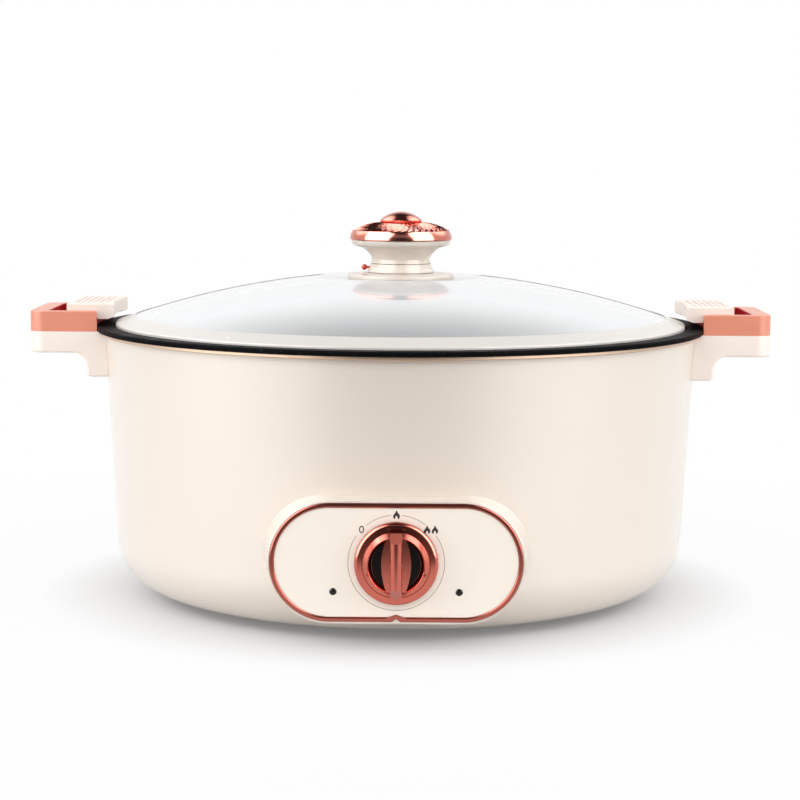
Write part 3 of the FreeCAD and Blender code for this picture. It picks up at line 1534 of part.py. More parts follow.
def thermostat():
    """The bimetal switch: block behind the housing, plate with bushing, nut in front."""
    where = {"y": -panel_reach, "z": S.panel_height, "turn": FRONT}
    inner = number(wall_inside - panel_reach)
    plate = Part.makeBox(34.0, 22.0, 1.2)
    plate.translate(Vector(-17.0, -11.0, inner - 1.2))
    outer = number(S.bushing_radius)
    plate = plate.fuse(rod(outer, Vector(0, 0, inner - 1.2), 2.6 - inner + 1.2))
    bore = number(S.shaft_radius + S.running_gap)
    plate = plate.cut(rod(bore, Vector(0, 0, -40.0), 60.0)).removeSplitter()
    loose_solid("thermostat_plate", plate, **where)
    block = Part.makeBox(26.0, 22.0, 15.0)
    block.translate(Vector(-13.0, -11.0, inner - 16.2))
    block = block.makeChamfer(1.5, [e for e in block.Edges if near(e.BoundBox.ZLength, 15.0)])
    well = rod(number(S.shaft_radius) + 0.4, Vector(0, 0, inner - 18.0), 30.0)
    block = block.cut(well)
    loose_solid("thermostat_body", block, **where)
    tabs = []
    for x in (-8.0, 8.0):
        tab = Part.makeBox(6.3, 0.8, 8.0)
        tab.translate(Vector(x - 3.15, -6.4, inner - 16.2 - 8.0))
        tabs.append(tab.cut(rod(0.9, Vector(x, -10.0, inner - 21.5), 20.0, Vector(0, 1, 0))))
    loose_solid("thermostat_tabs", group(tabs), **where)
    points = [
        Vector(6.6 * math.cos(math.radians(60 * i)), 6.6 * math.sin(math.radians(60 * i)), 0)
        for i in range(7)
    ]
    nut = Part.Face(Part.makePolygon(points)).extrude(Vector(0, 0, 2.2))
    nut.translate(Vector(0, 0, -0.1))
    nut = nut.cut(rod(outer + 0.05, Vector(0, 0, -5.0), 10.0))
    loose_solid("thermostat_nut", nut, **where)


# ---------------------------------------------------------------- inlet


def inlet_housing():
    body = new_body("inlet_housing", turn=REAR)
    back = shell_base_radius - 10.4

    def section(offset, grow):
        sketch = new_sketch(body, offset=offset)
        return draw_outline(sketch, stadium(S.inlet_half, S.inlet_radius + grow, S.inlet_height))

    loft(body, "AdditiveLoft", section(inlet_reach, 0.0), section(back, 2.0))
    inner = inlet_reach - 2.5
    loft(body, "SubtractiveLoft", section(inner, -2.5), section(back - 1.0, -0.5))
    spots = [(side * inlet_screw_x, S.inlet_height) for side in (-1, 1)]
    studs(body, spots, 4.0, inner + 0.5 - back, offset=inner + 0.5, back=True)
    cut_to_shell(body)
    drill(body, spots, small_screw + S.screw_gap, inner - 1.0 - back, offset=inner - 1.0)
    window = socket_section(2.6 + S.seat_gap)
    pocket(body, window, None, offset=inlet_reach)
    soften(body, lambda e: near(e.BoundBox.ZMin, inlet_reach) and near(e.BoundBox.ZMax, inlet_reach)
           and max(abs(e.BoundBox.XMin), abs(e.BoundBox.XMax), e.BoundBox.YLength) > 20.0, 1.0)
    return body


def socket_section(grow):
    """A rectangle with its two upper corners cut off, as appliance couplers have."""
    x, y, z = S.socket_half_x + grow, S.socket_half_y + grow, S.inlet_height
    return [(-x, z - y), (x, z - y), (x, z + y - 5.0), (x - 5.0, z + y), (-x + 5.0, z + y),
            (-x, z + y - 5.0)]


def inlet_socket():
    body = new_body("inlet_socket", turn=REAR)
    depth = S.socket_depth + 2.5
    pad(body, socket_section(2.6), depth, offset=inlet_reach, back=True)
    pad(body, socket_section(4.6), socket_flange, offset=inlet_reach)
    pocket(body, socket_section(0.0), S.socket_depth + socket_flange,
           offset=inlet_reach + socket_flange)
    for x, y in pin_spots:
        slot = box_corners(x - 1.05, x + 1.05, S.inlet_height + y - 2.05, S.inlet_height + y + 2.05)
        pocket(body, slot, None, offset=inlet_reach)
    return body


pin_spots = [(-7.0, -2.5), (7.0, -2.5), (0.0, 3.0)]


def inlet_pins():
    """Two live blades and a longer earth blade."""
    floor = number(inlet_reach - S.socket_depth)
    blades = []
    for x, y in pin_spots:
        front = number(S.blade_length + (S.earth_lead if x == 0 else 0.0))
        tail = number(S.blade_tail)
        blade = Part.makeBox(2.0, 4.0, front + tail)
        blade.translate(Vector(x - 1.0, number(S.inlet_height) + y - 2.0, floor - tail))
        ends = [e for e in blade.Edges if near(e.BoundBox.ZMin, floor + front)
                and near(e.BoundBox.ZMax, floor + front)]
        blades.append(blade.makeChamfer(0.5, ends))
    return loose_solid("inlet_pins", group(blades), turn=REAR)


def inlet_screws():
    start = number(inlet_pad_y)
    length = number(inlet_reach - S.inlet_screw_stop) - start
    shapes = [
        pan_head_screw(small_screw, length, 3.2, 2.2,
                       Vector(side * number(inlet_screw_x), number(S.inlet_height), start),
                       Vector(0, 0, 1))
        for side in (-1, 1)
    ]
    return loose_solid("inlet_screws", group(shapes), turn=REAR)


# ---------------------------------------------------------------- the whole pot


def build():
    outer_shell()
    champagne_band()
    bottom_cover()
    rubber_feet()
    cover_screws()
    inner_pan()
    heating_plate()
    heating_tube()
    pan_studs()
    stud_nuts()
    heat_shield()
    shield_screws()
    thermal_fuse()
    fuse_clip()
    lid_glass()
    lid_rim()
    knob_base()
    knob_stem()
    knob_crown()
    knob_button()
    lid_fixings()
    vent_collar()
    vent_lever()
    for side, turn in (("right", Rotation()), ("left", FAR_SIDE)):
        handle_body(f"handle_body_{side}", turn)
        handle_frame(f"handle_frame_{side}", turn)
        latch_track(f"latch_track_{side}", turn)
        latch(f"latch_{side}", turn)
        handle_screws(f"handle_screws_{side}", turn)
        frame_screws(f"frame_screws_{side}", turn)
    panel_housing()
    panel_trim()
    panel_face()
    lamp_lens("power_lens", -1)
    lamp_lens("heating_lens", 1)
    neon_lamp("power_lamp", -1)
    neon_lamp("heating_lamp", 1)
    panel_screws()
    dial_knob()
    dial_inserts()
    thermostat_shaft()
    thermostat()
    inlet_housing()
    inlet_socket()
    inlet_pins()
    inlet_screws()


def check_and_write():
    """Stops on any failed feature or bad solid, then writes one STEP file for each piece."""
    doc.recompute()
    faults = [
        f"{thing.Label}: {state}"
        for thing in doc.Objects
        for state in thing.State
        if state in ("Invalid", "Error")
    ]
    for thing in kept:
        if thing.Shape.isNull() or not thing.Shape.isValid() or not thing.Shape.Solids:
            faults.append(f"{thing.Label}: no valid solid")
    if faults:
        raise RuntimeError("; ".join(faults))
    os.makedirs("parts", exist_ok=True)
    for thing in kept:
        thing.Shape.exportStep(f"parts/{thing.Label}.step")
        print(f"{thing.Label}: {len(thing.Shape.Solids)} solid(s), {thing.Shape.Volume:.0f} mm3")


build()
check_and_write()
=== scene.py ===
# %% [markdown]
# # Looks of a round electric hot pot
#
# The solids come from a CAD model and stay where they are. This script gives each of them a
# material made of nodes, adds the thin printed marks that no solid can carry, and sets up a
# plain studio. All lengths are metres in the CAD model's own frame: +Z is up, the dial faces
# -Y, and the pot's axis stands a little behind the origin.

# %% Load the solids
import math

import bmesh
import bpy
from mathutils import Matrix, Vector


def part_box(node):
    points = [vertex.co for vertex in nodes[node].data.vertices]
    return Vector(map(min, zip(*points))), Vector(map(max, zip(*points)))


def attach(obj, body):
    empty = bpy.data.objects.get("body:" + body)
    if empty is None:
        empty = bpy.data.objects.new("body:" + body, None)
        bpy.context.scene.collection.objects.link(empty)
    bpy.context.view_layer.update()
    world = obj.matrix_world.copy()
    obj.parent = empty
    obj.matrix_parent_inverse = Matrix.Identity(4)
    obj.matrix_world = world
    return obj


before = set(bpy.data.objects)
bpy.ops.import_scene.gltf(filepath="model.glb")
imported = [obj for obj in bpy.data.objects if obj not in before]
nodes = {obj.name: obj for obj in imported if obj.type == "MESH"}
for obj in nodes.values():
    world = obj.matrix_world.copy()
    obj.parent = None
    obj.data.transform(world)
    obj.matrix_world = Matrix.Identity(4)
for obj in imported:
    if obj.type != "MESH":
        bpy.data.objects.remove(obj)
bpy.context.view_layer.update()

# %% [markdown]
# ## Landmarks
#
# Later pieces need a few places on the pot. They could be typed in as numbers, but a place that
# is read from a solid follows it when a size changes. The pot's axis is the middle of the pan,
# and the dial's axis is the middle of its knob.

# %% Landmarks read from the solids
def middle(node):
    """The middle of a solid's box."""
    low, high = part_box(node)
    return (low + high) / 2


axis_y = middle("inner_pan").y
dial = middle("dial_knob")
face_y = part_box("panel_face")[0].y
print(f"pot axis y {axis_y:.4f}, panel face y {face_y:.4f}, dial axis z {dial.z:.4f}")

# %% [markdown]
# ## Camera
#
# A small appliance is usually shown from a little above, through a long lens. A short lens from
# close by frames it as well, but it opens the ellipse of the rim and makes the near side bulge.
# So the lens is 97 mm on a 36 mm sensor, 1.2 m from the pot's axis and 25 cm above the table,
# tilted down by 6.8 degrees. It stands half a degree round the pot and leans a third of a degree.

# %% Place the camera
LENS_MM = 96.8
SENSOR_MM = 36.0
FARTHEST = 50.0
DISTANCE = 1.2
HEIGHT = 0.2478
DEGREES_DOWN = 6.785
DEGREES_ROUND = 0.45
DEGREES_LEAN = 0.34

camera_data = bpy.data.cameras.new("camera")
camera_data.lens = LENS_MM
camera_data.sensor_width = SENSOR_MM
camera_data.clip_end = FARTHEST
camera = bpy.data.objects.new("camera", camera_data)
bpy.context.scene.collection.objects.link(camera)
round_pot = math.radians(DEGREES_ROUND)
camera.location = (
    DISTANCE * math.sin(round_pot),
    axis_y - DISTANCE * math.cos(round_pot),
    HEIGHT,
)
camera.rotation_euler = (
    Matrix.Rotation(round_pot, 3, "Z")
    @ Matrix.Rotation(math.radians(90.0 - DEGREES_DOWN), 3, "X")
    @ Matrix.Rotation(math.radians(DEGREES_LEAN), 3, "Z")
).to_euler()
bpy.context.scene.camera = camera
print("camera at", [round(value, 4) for value in camera.location])

# %% [markdown]
# ## Colours
#
# A colour is easiest to judge as three 8-bit values of a screen, but shaders count in linear
# light. It could be picked by eye in Blender's colour field, which converts it. Here `srgb` does
# that, with the curve that screens use, and `shade` makes a lighter or darker version.

# %% Screen colours and their shades
def srgb(red, green, blue):
    """The linear colour of an 8-bit screen colour."""
    linear = []
    for part in (red, green, blue):
        c = part / 255.0
        linear.append(c / 12.92 if c <= 0.04045 else ((c + 0.055) / 1.055) ** 2.4)
    return (*linear, 1.0)


def shade(colour, factor):
    """The same colour, lighter or darker."""
    return (colour[0] * factor, colour[1] * factor, colour[2] * factor, 1.0)


print("a screen grey of 128 is", round(srgb(128, 128, 128)[0], 3), "in linear light")

# %% [markdown]
# ## A short way to write nodes
#
# Nodes could be placed by hand in the shader editor, but a script builds them the same way each
# time. `Tree` is the node tree of a material or of the world: `add` makes a node, `join` feeds a
# socket from another node or with a plain number, `maths` calculates, and `spread` turns one
# range of values into another.

# %% Node trees
class Tree:
    """A node tree under construction."""

    def __init__(self, owner):
        owner.use_nodes = True
        self.tree = owner.node_tree
        self.tree.nodes.clear()

    def add(self, kind, **settings):
        node = self.tree.nodes.new(kind)
        for key, value in settings.items():
            setattr(node, key, value)
        return node

    def join(self, value, socket):
        if isinstance(value, float):
            socket.default_value = value
        else:
            self.tree.links.new(value, socket)

    def maths(self, operation, first, second):
        node = self.add("ShaderNodeMath", operation=operation)
        self.join(first, node.inputs[0])
        self.join(second, node.inputs[1])
        return node.outputs["Value"]

    def spread(self, value, low, high, start=0.3, end=0.7, interpolation="LINEAR"):
        """Goes from low to high while the value goes from start to end."""
        node = self.add("ShaderNodeMapRange", interpolation_type=interpolation)
        self.join(value, node.inputs["Value"])
        self.join(start, node.inputs["From Min"])
        self.join(end, node.inputs["From Max"])
        self.join(low, node.inputs["To Min"])
        self.join(high, node.inputs["To Max"])
        return node.outputs["Result"]


print("node trees can be built")

# %% [markdown]
# Each material is one Principled shader with a few texture nodes in front of it. `noise` and
# `cells` are the textures, laid out in the solid's own metres, so that a grain keeps its real
# size. `mottle` and `tint` use them for colour, `roughen` for gloss and `bump` for fine relief.
# A value that is the same all over is set on the shader itself, which exports more surely than
# a node does.

# %% Finishes
class Finish(Tree):
    """One material under construction."""

    made = {}

    def __init__(self, name, colour, roughness, **values):
        self.material = bpy.data.materials.new(name)
        super().__init__(self.material)
        self.made[name] = self
        self.colour = colour
        self.shader = self.add("ShaderNodeBsdfPrincipled")
        self.output = self.add("ShaderNodeOutputMaterial")
        self.join(self.shader.outputs["BSDF"], self.output.inputs["Surface"])
        self.shader.inputs["Base Color"].default_value = colour
        self.shader.inputs["Roughness"].default_value = roughness
        for key, value in values.items():
            self.shader.inputs[key.replace("_", " ")].default_value = value
        self.place = self.add("ShaderNodeTexCoord").outputs["Object"]

    def stretched(self, scale):
        """The place on the solid, stretched along its axes."""
        node = self.add("ShaderNodeMapping")
        node.inputs["Scale"].default_value = scale
        self.join(self.place, node.inputs["Vector"])
        return node.outputs["Vector"]

    def noise(self, scale, detail=3.0, rough=0.5, place=None):
        """Soft random spots, with scale spots to the metre."""
        node = self.add("ShaderNodeTexNoise")
        self.join(scale, node.inputs["Scale"])
        self.join(detail, node.inputs["Detail"])
        self.join(rough, node.inputs["Roughness"])
        self.join(place or self.place, node.inputs["Vector"])
        return node.outputs["Fac"]

    def cells(self, scale):
        """Small closed cells, with scale cells to the metre."""
        node = self.add("ShaderNodeTexVoronoi")
        self.join(scale, node.inputs["Scale"])
        self.join(self.place, node.inputs["Vector"])
        return node.outputs["Distance"]

    def ramp(self, value, stops):
        """A colour for each value, between stops of (value, colour)."""
        node = self.add("ShaderNodeValToRGB")
        elements = node.color_ramp.elements
        while len(elements) < len(stops):
            elements.new(0.5)
        for element, (position, colour) in zip(elements, stops):
            element.position = position
            element.color = colour
        self.join(value, node.inputs["Fac"])
        return node.outputs["Color"]

    def tint(self, value, stops):
        self.join(self.ramp(value, stops), self.shader.inputs["Base Color"])

    def mottle(self, value, darker, lighter, start=0.3, end=0.7):
        """Shades of the finish's own colour, by a texture."""
        self.tint(value, [(start, shade(self.colour, darker)), (end, shade(self.colour, lighter))])

    def roughen(self, value, low, high):
        self.join(self.spread(value, low, high), self.shader.inputs["Roughness"])

    def bump(self, value, distance, strength):
        node = self.add("ShaderNodeBump")
        self.join(strength, node.inputs["Strength"])
        self.join(distance, node.inputs["Distance"])
        self.join(value, node.inputs["Height"])
        for name in ("Normal", "Coat Normal"):
            self.join(node.outputs["Normal"], self.shader.inputs[name])


def tell(*names):
    """Prints what a cell made."""
    for name in names:
        print(f"{name}: {len(Finish.made[name].tree.nodes)} nodes")


print("finishes can be built")

# %% [markdown]
# ## Shell
#
# The wall is coated with cream lacquer that holds a very fine pearl pigment. Car paint is often
# made with sparkling flakes in the normals, but on a wall this size they would glitter. So the
# base is only a trace metallic, cells a fifth of a millimetre across shift its shade by a few
# percent, and a clear coat gives the broad soft highlights. It has no bump, because long
# highlights on a smooth wall show each ripple.

# %% Cream lacquer of the shell
lacquer = Finish("cream_lacquer", srgb(222, 211, 199), 0.32, Metallic=0.03, Coat_Weight=0.8,
                 Coat_Roughness=0.16, IOR=1.5, Specular_IOR_Level=1.0)
lacquer.mottle(lacquer.cells(5200.0), 0.985, 1.02, 0.1, 0.8)
lacquer.roughen(lacquer.noise(5.0, 2.0), 0.31, 0.33)
tell("cream_lacquer")

# %% [markdown]
# ## Cream plastics
#
# The knob, the panel's housing and the inlet are moulded, and a little warmer than the lacquer.
# They could wear the shell's lacquer, but they hold no pearl, so they have a plain base and a
# weak coat for the polished skin that a smooth mould leaves. The lid's ring is the same kind of
# plastic in a cooler white, so it has a colour of its own.

# %% Gloss plastic of the knob, the panel and the lid's ring
for name, colour, gloss, middle_roughness in (
    ("cream_gloss_plastic", srgb(219, 208, 197), (0.4, 0.2, 0.08), 0.24),
    ("lid_ring_plastic", srgb(211, 207, 202), (0.5, 0.2, 0.1), 0.26),
):
    specular, coat_weight, coat_roughness = gloss
    smooth = Finish(name, colour, middle_roughness, Specular_IOR_Level=specular,
                    Coat_Weight=coat_weight, Coat_Roughness=coat_roughness)
    smooth.mottle(smooth.noise(9.0, 2.0), 0.99, 1.005)
    smooth.roughen(smooth.noise(40.0, 2.0), middle_roughness - 0.02, middle_roughness + 0.02)
    tell(name)

# %% [markdown]
# Grips and latches are touched all the time, so their moulds are eroded to a fine grain that
# hides wear. That grain is a few micrometres deep. As a mesh it would take millions of faces,
# so it is a bump. The panel's face is a matt printed sheet, the palest of the creams.

# %% Grained grip plastic and the panel's face
grip = Finish("cream_grip_plastic", srgb(240, 228, 219), 0.36, Specular_IOR_Level=0.45)
grip.mottle(grip.noise(45.0, 3.0), 0.985, 1.005)
grip.roughen(grip.noise(260.0, 3.0), 0.34, 0.42)
grip.bump(grip.noise(2600.0, 2.0), 0.000006, 0.3)

face = Finish("panel_face_plastic", srgb(239, 231, 219), 0.42, Specular_IOR_Level=0.4)
face.mottle(face.noise(80.0, 2.0), 0.995, 1.005)
face.roughen(face.noise(900.0, 2.0), 0.38, 0.46)
tell("cream_grip_plastic", "panel_face_plastic")

# %% [markdown]
# ## Coloured plastics
#
# The frames of the handles are coral plastic with a satin skin. The tracks inside them are a
# deep red, much darker than the coral: a painted shade of the deep slot. One flat colour would
# look like paint in a drawing. Dyed plastic varies by a few percent where it flowed, which wide
# soft noise gives, and its skin varies in gloss on a finer scale.

# %% Coral frames and red tracks
coral = Finish("satin_coral_plastic", srgb(220, 139, 113), 0.34, Specular_IOR_Level=0.4,
               Coat_Weight=0.2, Coat_Roughness=0.14)
coral.mottle(coral.noise(38.0, 3.0), 0.98, 1.02)
coral.roughen(coral.noise(300.0, 3.0), 0.3, 0.4)
coral.bump(coral.noise(2200.0, 2.0), 0.000005, 0.3)

# The tracks' deep red is painted shade, standing for the shade inside each handle's slot.
track = Finish("deep_red_painted_shade", srgb(164, 12, 22), 0.4, Specular_IOR_Level=0.15)
track.mottle(track.noise(60.0, 3.0), 0.85, 1.05)
track.roughen(track.noise(300.0, 3.0), 0.36, 0.46)
tell("satin_coral_plastic", "deep_red_painted_shade")

# %% [markdown]
# The cover under the pot and the inlet's socket are plain technical mouldings. The cover has a
# coarse spark-eroded grain. Noise would give it soft hills, and cells give the round pits that
# sparks leave.

# %% Mouldings underneath and behind
base = Finish("base_moulding", srgb(214, 200, 187), 0.55, Specular_IOR_Level=0.35)
base.mottle(base.noise(14.0, 4.0), 0.93, 1.02)
base.roughen(base.noise(500.0, 3.0), 0.5, 0.62)
base.bump(base.cells(1500.0), 0.00004, 0.5)

black = Finish("black_moulding", srgb(20, 19, 20), 0.4, Specular_IOR_Level=0.25)
black.mottle(black.noise(120.0, 3.0), 0.8, 1.3)
black.bump(black.noise(1800.0, 2.0), 0.00002, 0.4)
tell("base_moulding", "black_moulding")

# %% [markdown]
# ## Rose gold
#
# The crown, the dial and the panel's trim are plastic with a rose-gold vacuum coating. Painting
# light and dark bands on them would fail as soon as they turn, so they are real mirrors: their
# look comes from the metal's colour, a slight softness and the room round them. Fine wipe marks,
# stretched sideways, break the mirror. The dial's two crescents fill its recess beside the blade
# and are nearly black: a painted shade of that recess.

# %% Plated parts and the dial's crescents of painted shade
for name, colour, low, high in (
    ("rose_gold_crown", srgb(208, 127, 112), 0.09, 0.15),
    ("rose_gold_dial", srgb(200, 108, 94), 0.1, 0.16),
    ("rose_gold_trim", srgb(176, 98, 86), 0.14, 0.2),
):
    plating = Finish(name, colour, (low + high) / 2, Metallic=1.0)
    plating.mottle(plating.noise(20.0, 2.0), 0.97, 1.02)
    wipe_marks = plating.noise(300.0, 4.0, place=plating.stretched((1.0, 1.0, 8.0)))
    plating.roughen(wipe_marks, low, high)
    tell(name)

# Painted shade: the near-black crescents stand for the shade in the dial's recess.
insert = Finish("dial_insert", srgb(14, 9, 9), 0.3, Specular_IOR_Level=0.15)
insert.mottle(insert.noise(300.0, 3.0), 0.7, 1.3)
tell("dial_insert")

# %% [markdown]
# ## Band and pan
#
# The band under the rim wears champagne lacquer, half metallic. The pan is aluminium with a
# sprayed non-stick coat: nearly black, with pale specks and the slight pebbling of a sprayed
# film. The specks could be scattered as tiny discs, but they lie inside the film, so the peaks
# of a fine noise pick them out in the colour alone.

# %% Champagne lacquer and non-stick coat
champagne = Finish("champagne_lacquer", srgb(196, 168, 144), 0.35, Metallic=0.55,
                   Coat_Weight=0.3)
champagne.mottle(champagne.cells(4000.0), 0.95, 1.04)
champagne.bump(champagne.noise(500.0, 2.0), 0.00001, 0.3)

FILM_BLACK = srgb(12, 12, 13)
SPECK = srgb(92, 92, 96)
coat = Finish("non_stick_coat", FILM_BLACK, 0.42, Specular_IOR_Level=0.01)
specks = coat.noise(1400.0, 2.0, 0.7)
coat.tint(specks, [(0.0, FILM_BLACK), (0.66, FILM_BLACK), (0.72, SPECK)])
coat.roughen(coat.noise(90.0, 3.0), 0.36, 0.48)
coat.bump(coat.noise(1100.0, 3.0), 0.00003, 0.4)
tell("champagne_lacquer", "non_stick_coat")

# %% [markdown]
# ## Glass of the lid
#
# The lid is tempered glass. Where it faces the eye it is clear with a faint tint. Where it turns
# away, real glass mirrors more and more and looks milky, and its outline is a thin dark line,
# where the sight runs along the glass. Refraction alone gives part of this and a lot of noise. So
# a Layer Weight node, which knows how far the surface turns away, leads from transmission to a
# milky tint, a painted reflection in the base colour, and on to a dark line, a painted shade at
# the outline, where coat and gloss fade as well. A little haze in the roughness keeps the glass
# from looking computed.

# %% Lid glass
CLEAR = srgb(244, 247, 247)
PAINTED_MILKY_REFLECTION = srgb(229, 231, 233)
PAINTED_DARK_OUTLINE = srgb(70, 70, 74)
GLOSS_LEVEL = 0.5
COAT_LEVEL = 0.4
OUTLINE_START, OUTLINE_END = 0.93, 0.965

glass = Finish("clear_lid_glass", CLEAR, 0.0, Transmission_Weight=0.95, IOR=1.45,
               Specular_IOR_Level=GLOSS_LEVEL, Coat_Weight=COAT_LEVEL, Coat_IOR=1.8,
               Coat_Roughness=0.12)
glass.roughen(glass.noise(12.0, 3.0), 0.0, 0.03)
layer_weight = glass.add("ShaderNodeLayerWeight")
layer_weight.inputs["Blend"].default_value = 0.5
slant = layer_weight.outputs["Facing"]
glass.join(glass.spread(slant, 0.95, 0.2, 0.52, 0.76), glass.shader.inputs["Transmission Weight"])
# The milky tint is painted reflection and the dark outline is painted shade, both in the base
# colour.
glass.tint(slant, [(0.5, CLEAR), (0.8, PAINTED_MILKY_REFLECTION), (OUTLINE_START, PAINTED_MILKY_REFLECTION), (OUTLINE_END, PAINTED_DARK_OUTLINE)])
for lobe, level in (("Specular IOR Level", GLOSS_LEVEL), ("Coat Weight", COAT_LEVEL)):
    glass.join(glass.spread(slant, level, 0.0, OUTLINE_START, OUTLINE_END),
               glass.shader.inputs[lobe])
tell("clear_lid_glass")

# %% [markdown]
# ## Lamps and vent lever
#
# Each indicator is a small tinted lamp behind a dark lens, and it is off. A light in it could
# show it on, but an unlit lens is nearly black. The vent's lever is a small gloss red moulding
# that catches the light on its edges.

# %% Lenses, lamps and lever
lens = Finish("dark_lens", srgb(20, 10, 10), 0.2, Specular_IOR_Level=0.3, Coat_Weight=0.2,
              Coat_Roughness=0.03)
lens.tint(lens.cells(1500.0), [(0.3, srgb(10, 6, 6)), (0.7, srgb(22, 11, 10))])

lamp_glass = Finish("tinted_lamp_glass", (0.95, 0.75, 0.62, 1.0), 0.05, IOR=1.48,
                    Transmission_Weight=0.85)
lamp_glass.roughen(lamp_glass.noise(400.0), 0.03, 0.1)

lever = Finish("gloss_red_plastic", srgb(196, 62, 44), 0.25, Coat_Weight=0.3,
               Coat_Roughness=0.1)
lever.mottle(lever.noise(500.0, 2.0), 0.85, 1.1)
lever.bump(lever.noise(3000.0), 0.00001, 0.3)
tell("dark_lens", "tinted_lamp_glass", "gloss_red_plastic")

# %% [markdown]
# ## Metals inside and underneath
#
# The screws are zinc-plated steel with drawing marks along them, the heat shield is aluminised
# sheet with a mottled spangle, the heating plate is cast with open pores, the element's sheath
# is oxidised by heat, and the terminals are brass. Each could have a tree of its own, but they
# differ only in colour, in the size and depth of one grain and in how it is stretched, so one
# loop makes them all.

# %% Metals
NO_STRETCH = (1.0, 1.0, 1.0)
for name, colour, low, high, grain, depth, stretch, darkest in (
    ("zinc_plated_steel", srgb(196, 198, 202), 0.22, 0.4, 900.0, 0.00001, (1.0, 1.0, 6.0), 0.9),
    ("aluminised_sheet", srgb(190, 190, 188), 0.3, 0.5, 90.0, 0.00002, NO_STRETCH, 0.75),
    ("cast_aluminium", srgb(176, 177, 180), 0.42, 0.6, 700.0, 0.00006, NO_STRETCH, 0.8),
    ("element_sheath", srgb(112, 104, 98), 0.35, 0.55, 160.0, 0.00003, NO_STRETCH, 0.55),
    ("bright_brass", srgb(214, 176, 98), 0.2, 0.34, 800.0, 0.00001, (6.0, 1.0, 1.0), 0.9),
):
    metal = Finish(name, colour, (low + high) / 2, Metallic=1.0)
    pattern = metal.noise(grain, 4.0, 0.6, metal.stretched(stretch))
    metal.mottle(pattern, darkest, 1.0)
    metal.roughen(pattern, low, high)
    metal.bump(pattern, depth, 0.4)
    tell(name)

# %% [markdown]
# ## Rubber, silicone and ceramic
#
# The feet are matt rubber, the washer under the glass is translucent silicone, and the switch
# block and the fuse's body are steatite. All are dull and slightly uneven. Silicone could be
# made as hazy glass, but a little subsurface light gives its soft edge at far less noise.

# %% Dull finishes
for name, colour, roughness, grain, depth, extra in (
    ("foot_rubber", srgb(150, 142, 134), 0.7, 1200.0, 0.00003, {}),
    ("washer_silicone", srgb(226, 222, 214), 0.5, 600.0, 0.00001,
     {"Subsurface_Weight": 0.2, "Subsurface_Scale": 0.003}),
    ("steatite", srgb(222, 217, 204), 0.45, 900.0, 0.00003, {}),
):
    dull = Finish(name, colour, roughness, Specular_IOR_Level=0.35, **extra)
    pattern = dull.noise(grain, 4.0, 0.6)
    dull.mottle(pattern, 0.9, 1.04)
    dull.roughen(pattern, roughness - 0.05, roughness + 0.08)
    dull.bump(pattern, depth, 0.5)
    tell(name)

# %% [markdown]
# ## Dressing the solids
#
# Each solid of the pot is moulded, cast or stamped from one material, so each takes one finish.
# Finishes could be given by hand in the editor. A table in the script says at a glance what
# is made of what, and a solid that it leaves out is plated steel, as screws and nuts are.

# %% Give every solid its finish
WEAR = {
    "cream_lacquer": ("outer_shell",),
    "champagne_lacquer": ("champagne_band",),
    "non_stick_coat": ("inner_pan",),
    "clear_lid_glass": ("lid_glass",),
    "cream_gloss_plastic": ("knob_base", "knob_stem", "vent_collar", "panel_housing",
                            "inlet_housing"),
    "lid_ring_plastic": ("lid_rim",),
    "panel_face_plastic": ("panel_face",),
    "cream_grip_plastic": ("handle_body_left", "handle_body_right", "latch_left",
                           "latch_right"),
    "satin_coral_plastic": ("handle_frame_left", "handle_frame_right"),
    "deep_red_painted_shade": ("latch_track_left", "latch_track_right"),
    "rose_gold_crown": ("knob_crown", "knob_button"),
    "rose_gold_dial": ("dial_knob",),
    "rose_gold_trim": ("panel_trim",),
    "dial_insert": ("dial_inserts",),
    "black_moulding": ("inlet_socket",),
    "dark_lens": ("power_lens", "heating_lens"),
    "tinted_lamp_glass": ("power_lamp", "heating_lamp"),
    "gloss_red_plastic": ("vent_lever",),
    "base_moulding": ("bottom_cover",),
    "foot_rubber": ("rubber_feet",),
    "washer_silicone": ("silicone_washer",),
    "steatite": ("thermostat_body", "thermal_fuse"),
    "aluminised_sheet": ("heat_shield",),
    "cast_aluminium": ("heating_plate",),
    "element_sheath": ("heating_tube",),
    "bright_brass": ("inlet_pins", "thermostat_tabs"),
}
finish_of = {name: finish for finish, names in WEAR.items() for name in names}
for name, solid in nodes.items():
    material = Finish.made[finish_of.get(name, "zinc_plated_steel")].material
    if not solid.material_slots:
        solid.data.materials.append(material)
    for material_slot in solid.material_slots:
        material_slot.material = material
print("plated steel:", sorted(name for name in nodes if name not in finish_of))

# %% [markdown]
# ## Inks of the printed marks
#
# The panel's face is printed round the dial. The marks are nearly black and the thin circle is
# grey. Printed ink is never quite even, so a very fine noise moves its colour a little.

# %% Two inks
for name, colour, darker, lighter in (
    ("printing_ink", srgb(38, 34, 34), srgb(30, 27, 27), srgb(52, 46, 45)),
    ("printing_ink_grey", srgb(150, 146, 138), srgb(140, 136, 130), srgb(160, 156, 148)),
):
    ink = Finish(name, colour, 0.5, Specular_IOR_Level=0.3)
    ink.tint(ink.noise(4000.0, 2.0), [(0.3, darker), (0.7, lighter)])
    tell(name)

# %% [markdown]
# ## Films of ink
#
# A mark could be a picture on the face, but no picture is used here, and a drawn shape stays
# sharp at any zoom. So each mark is its outline, filled with triangles and pulled out from the
# face into a film 0.03 mm thick. It rides on the pot, as the face does.

# %% Make a film from outlines
FILM_THICKNESS = 0.00003


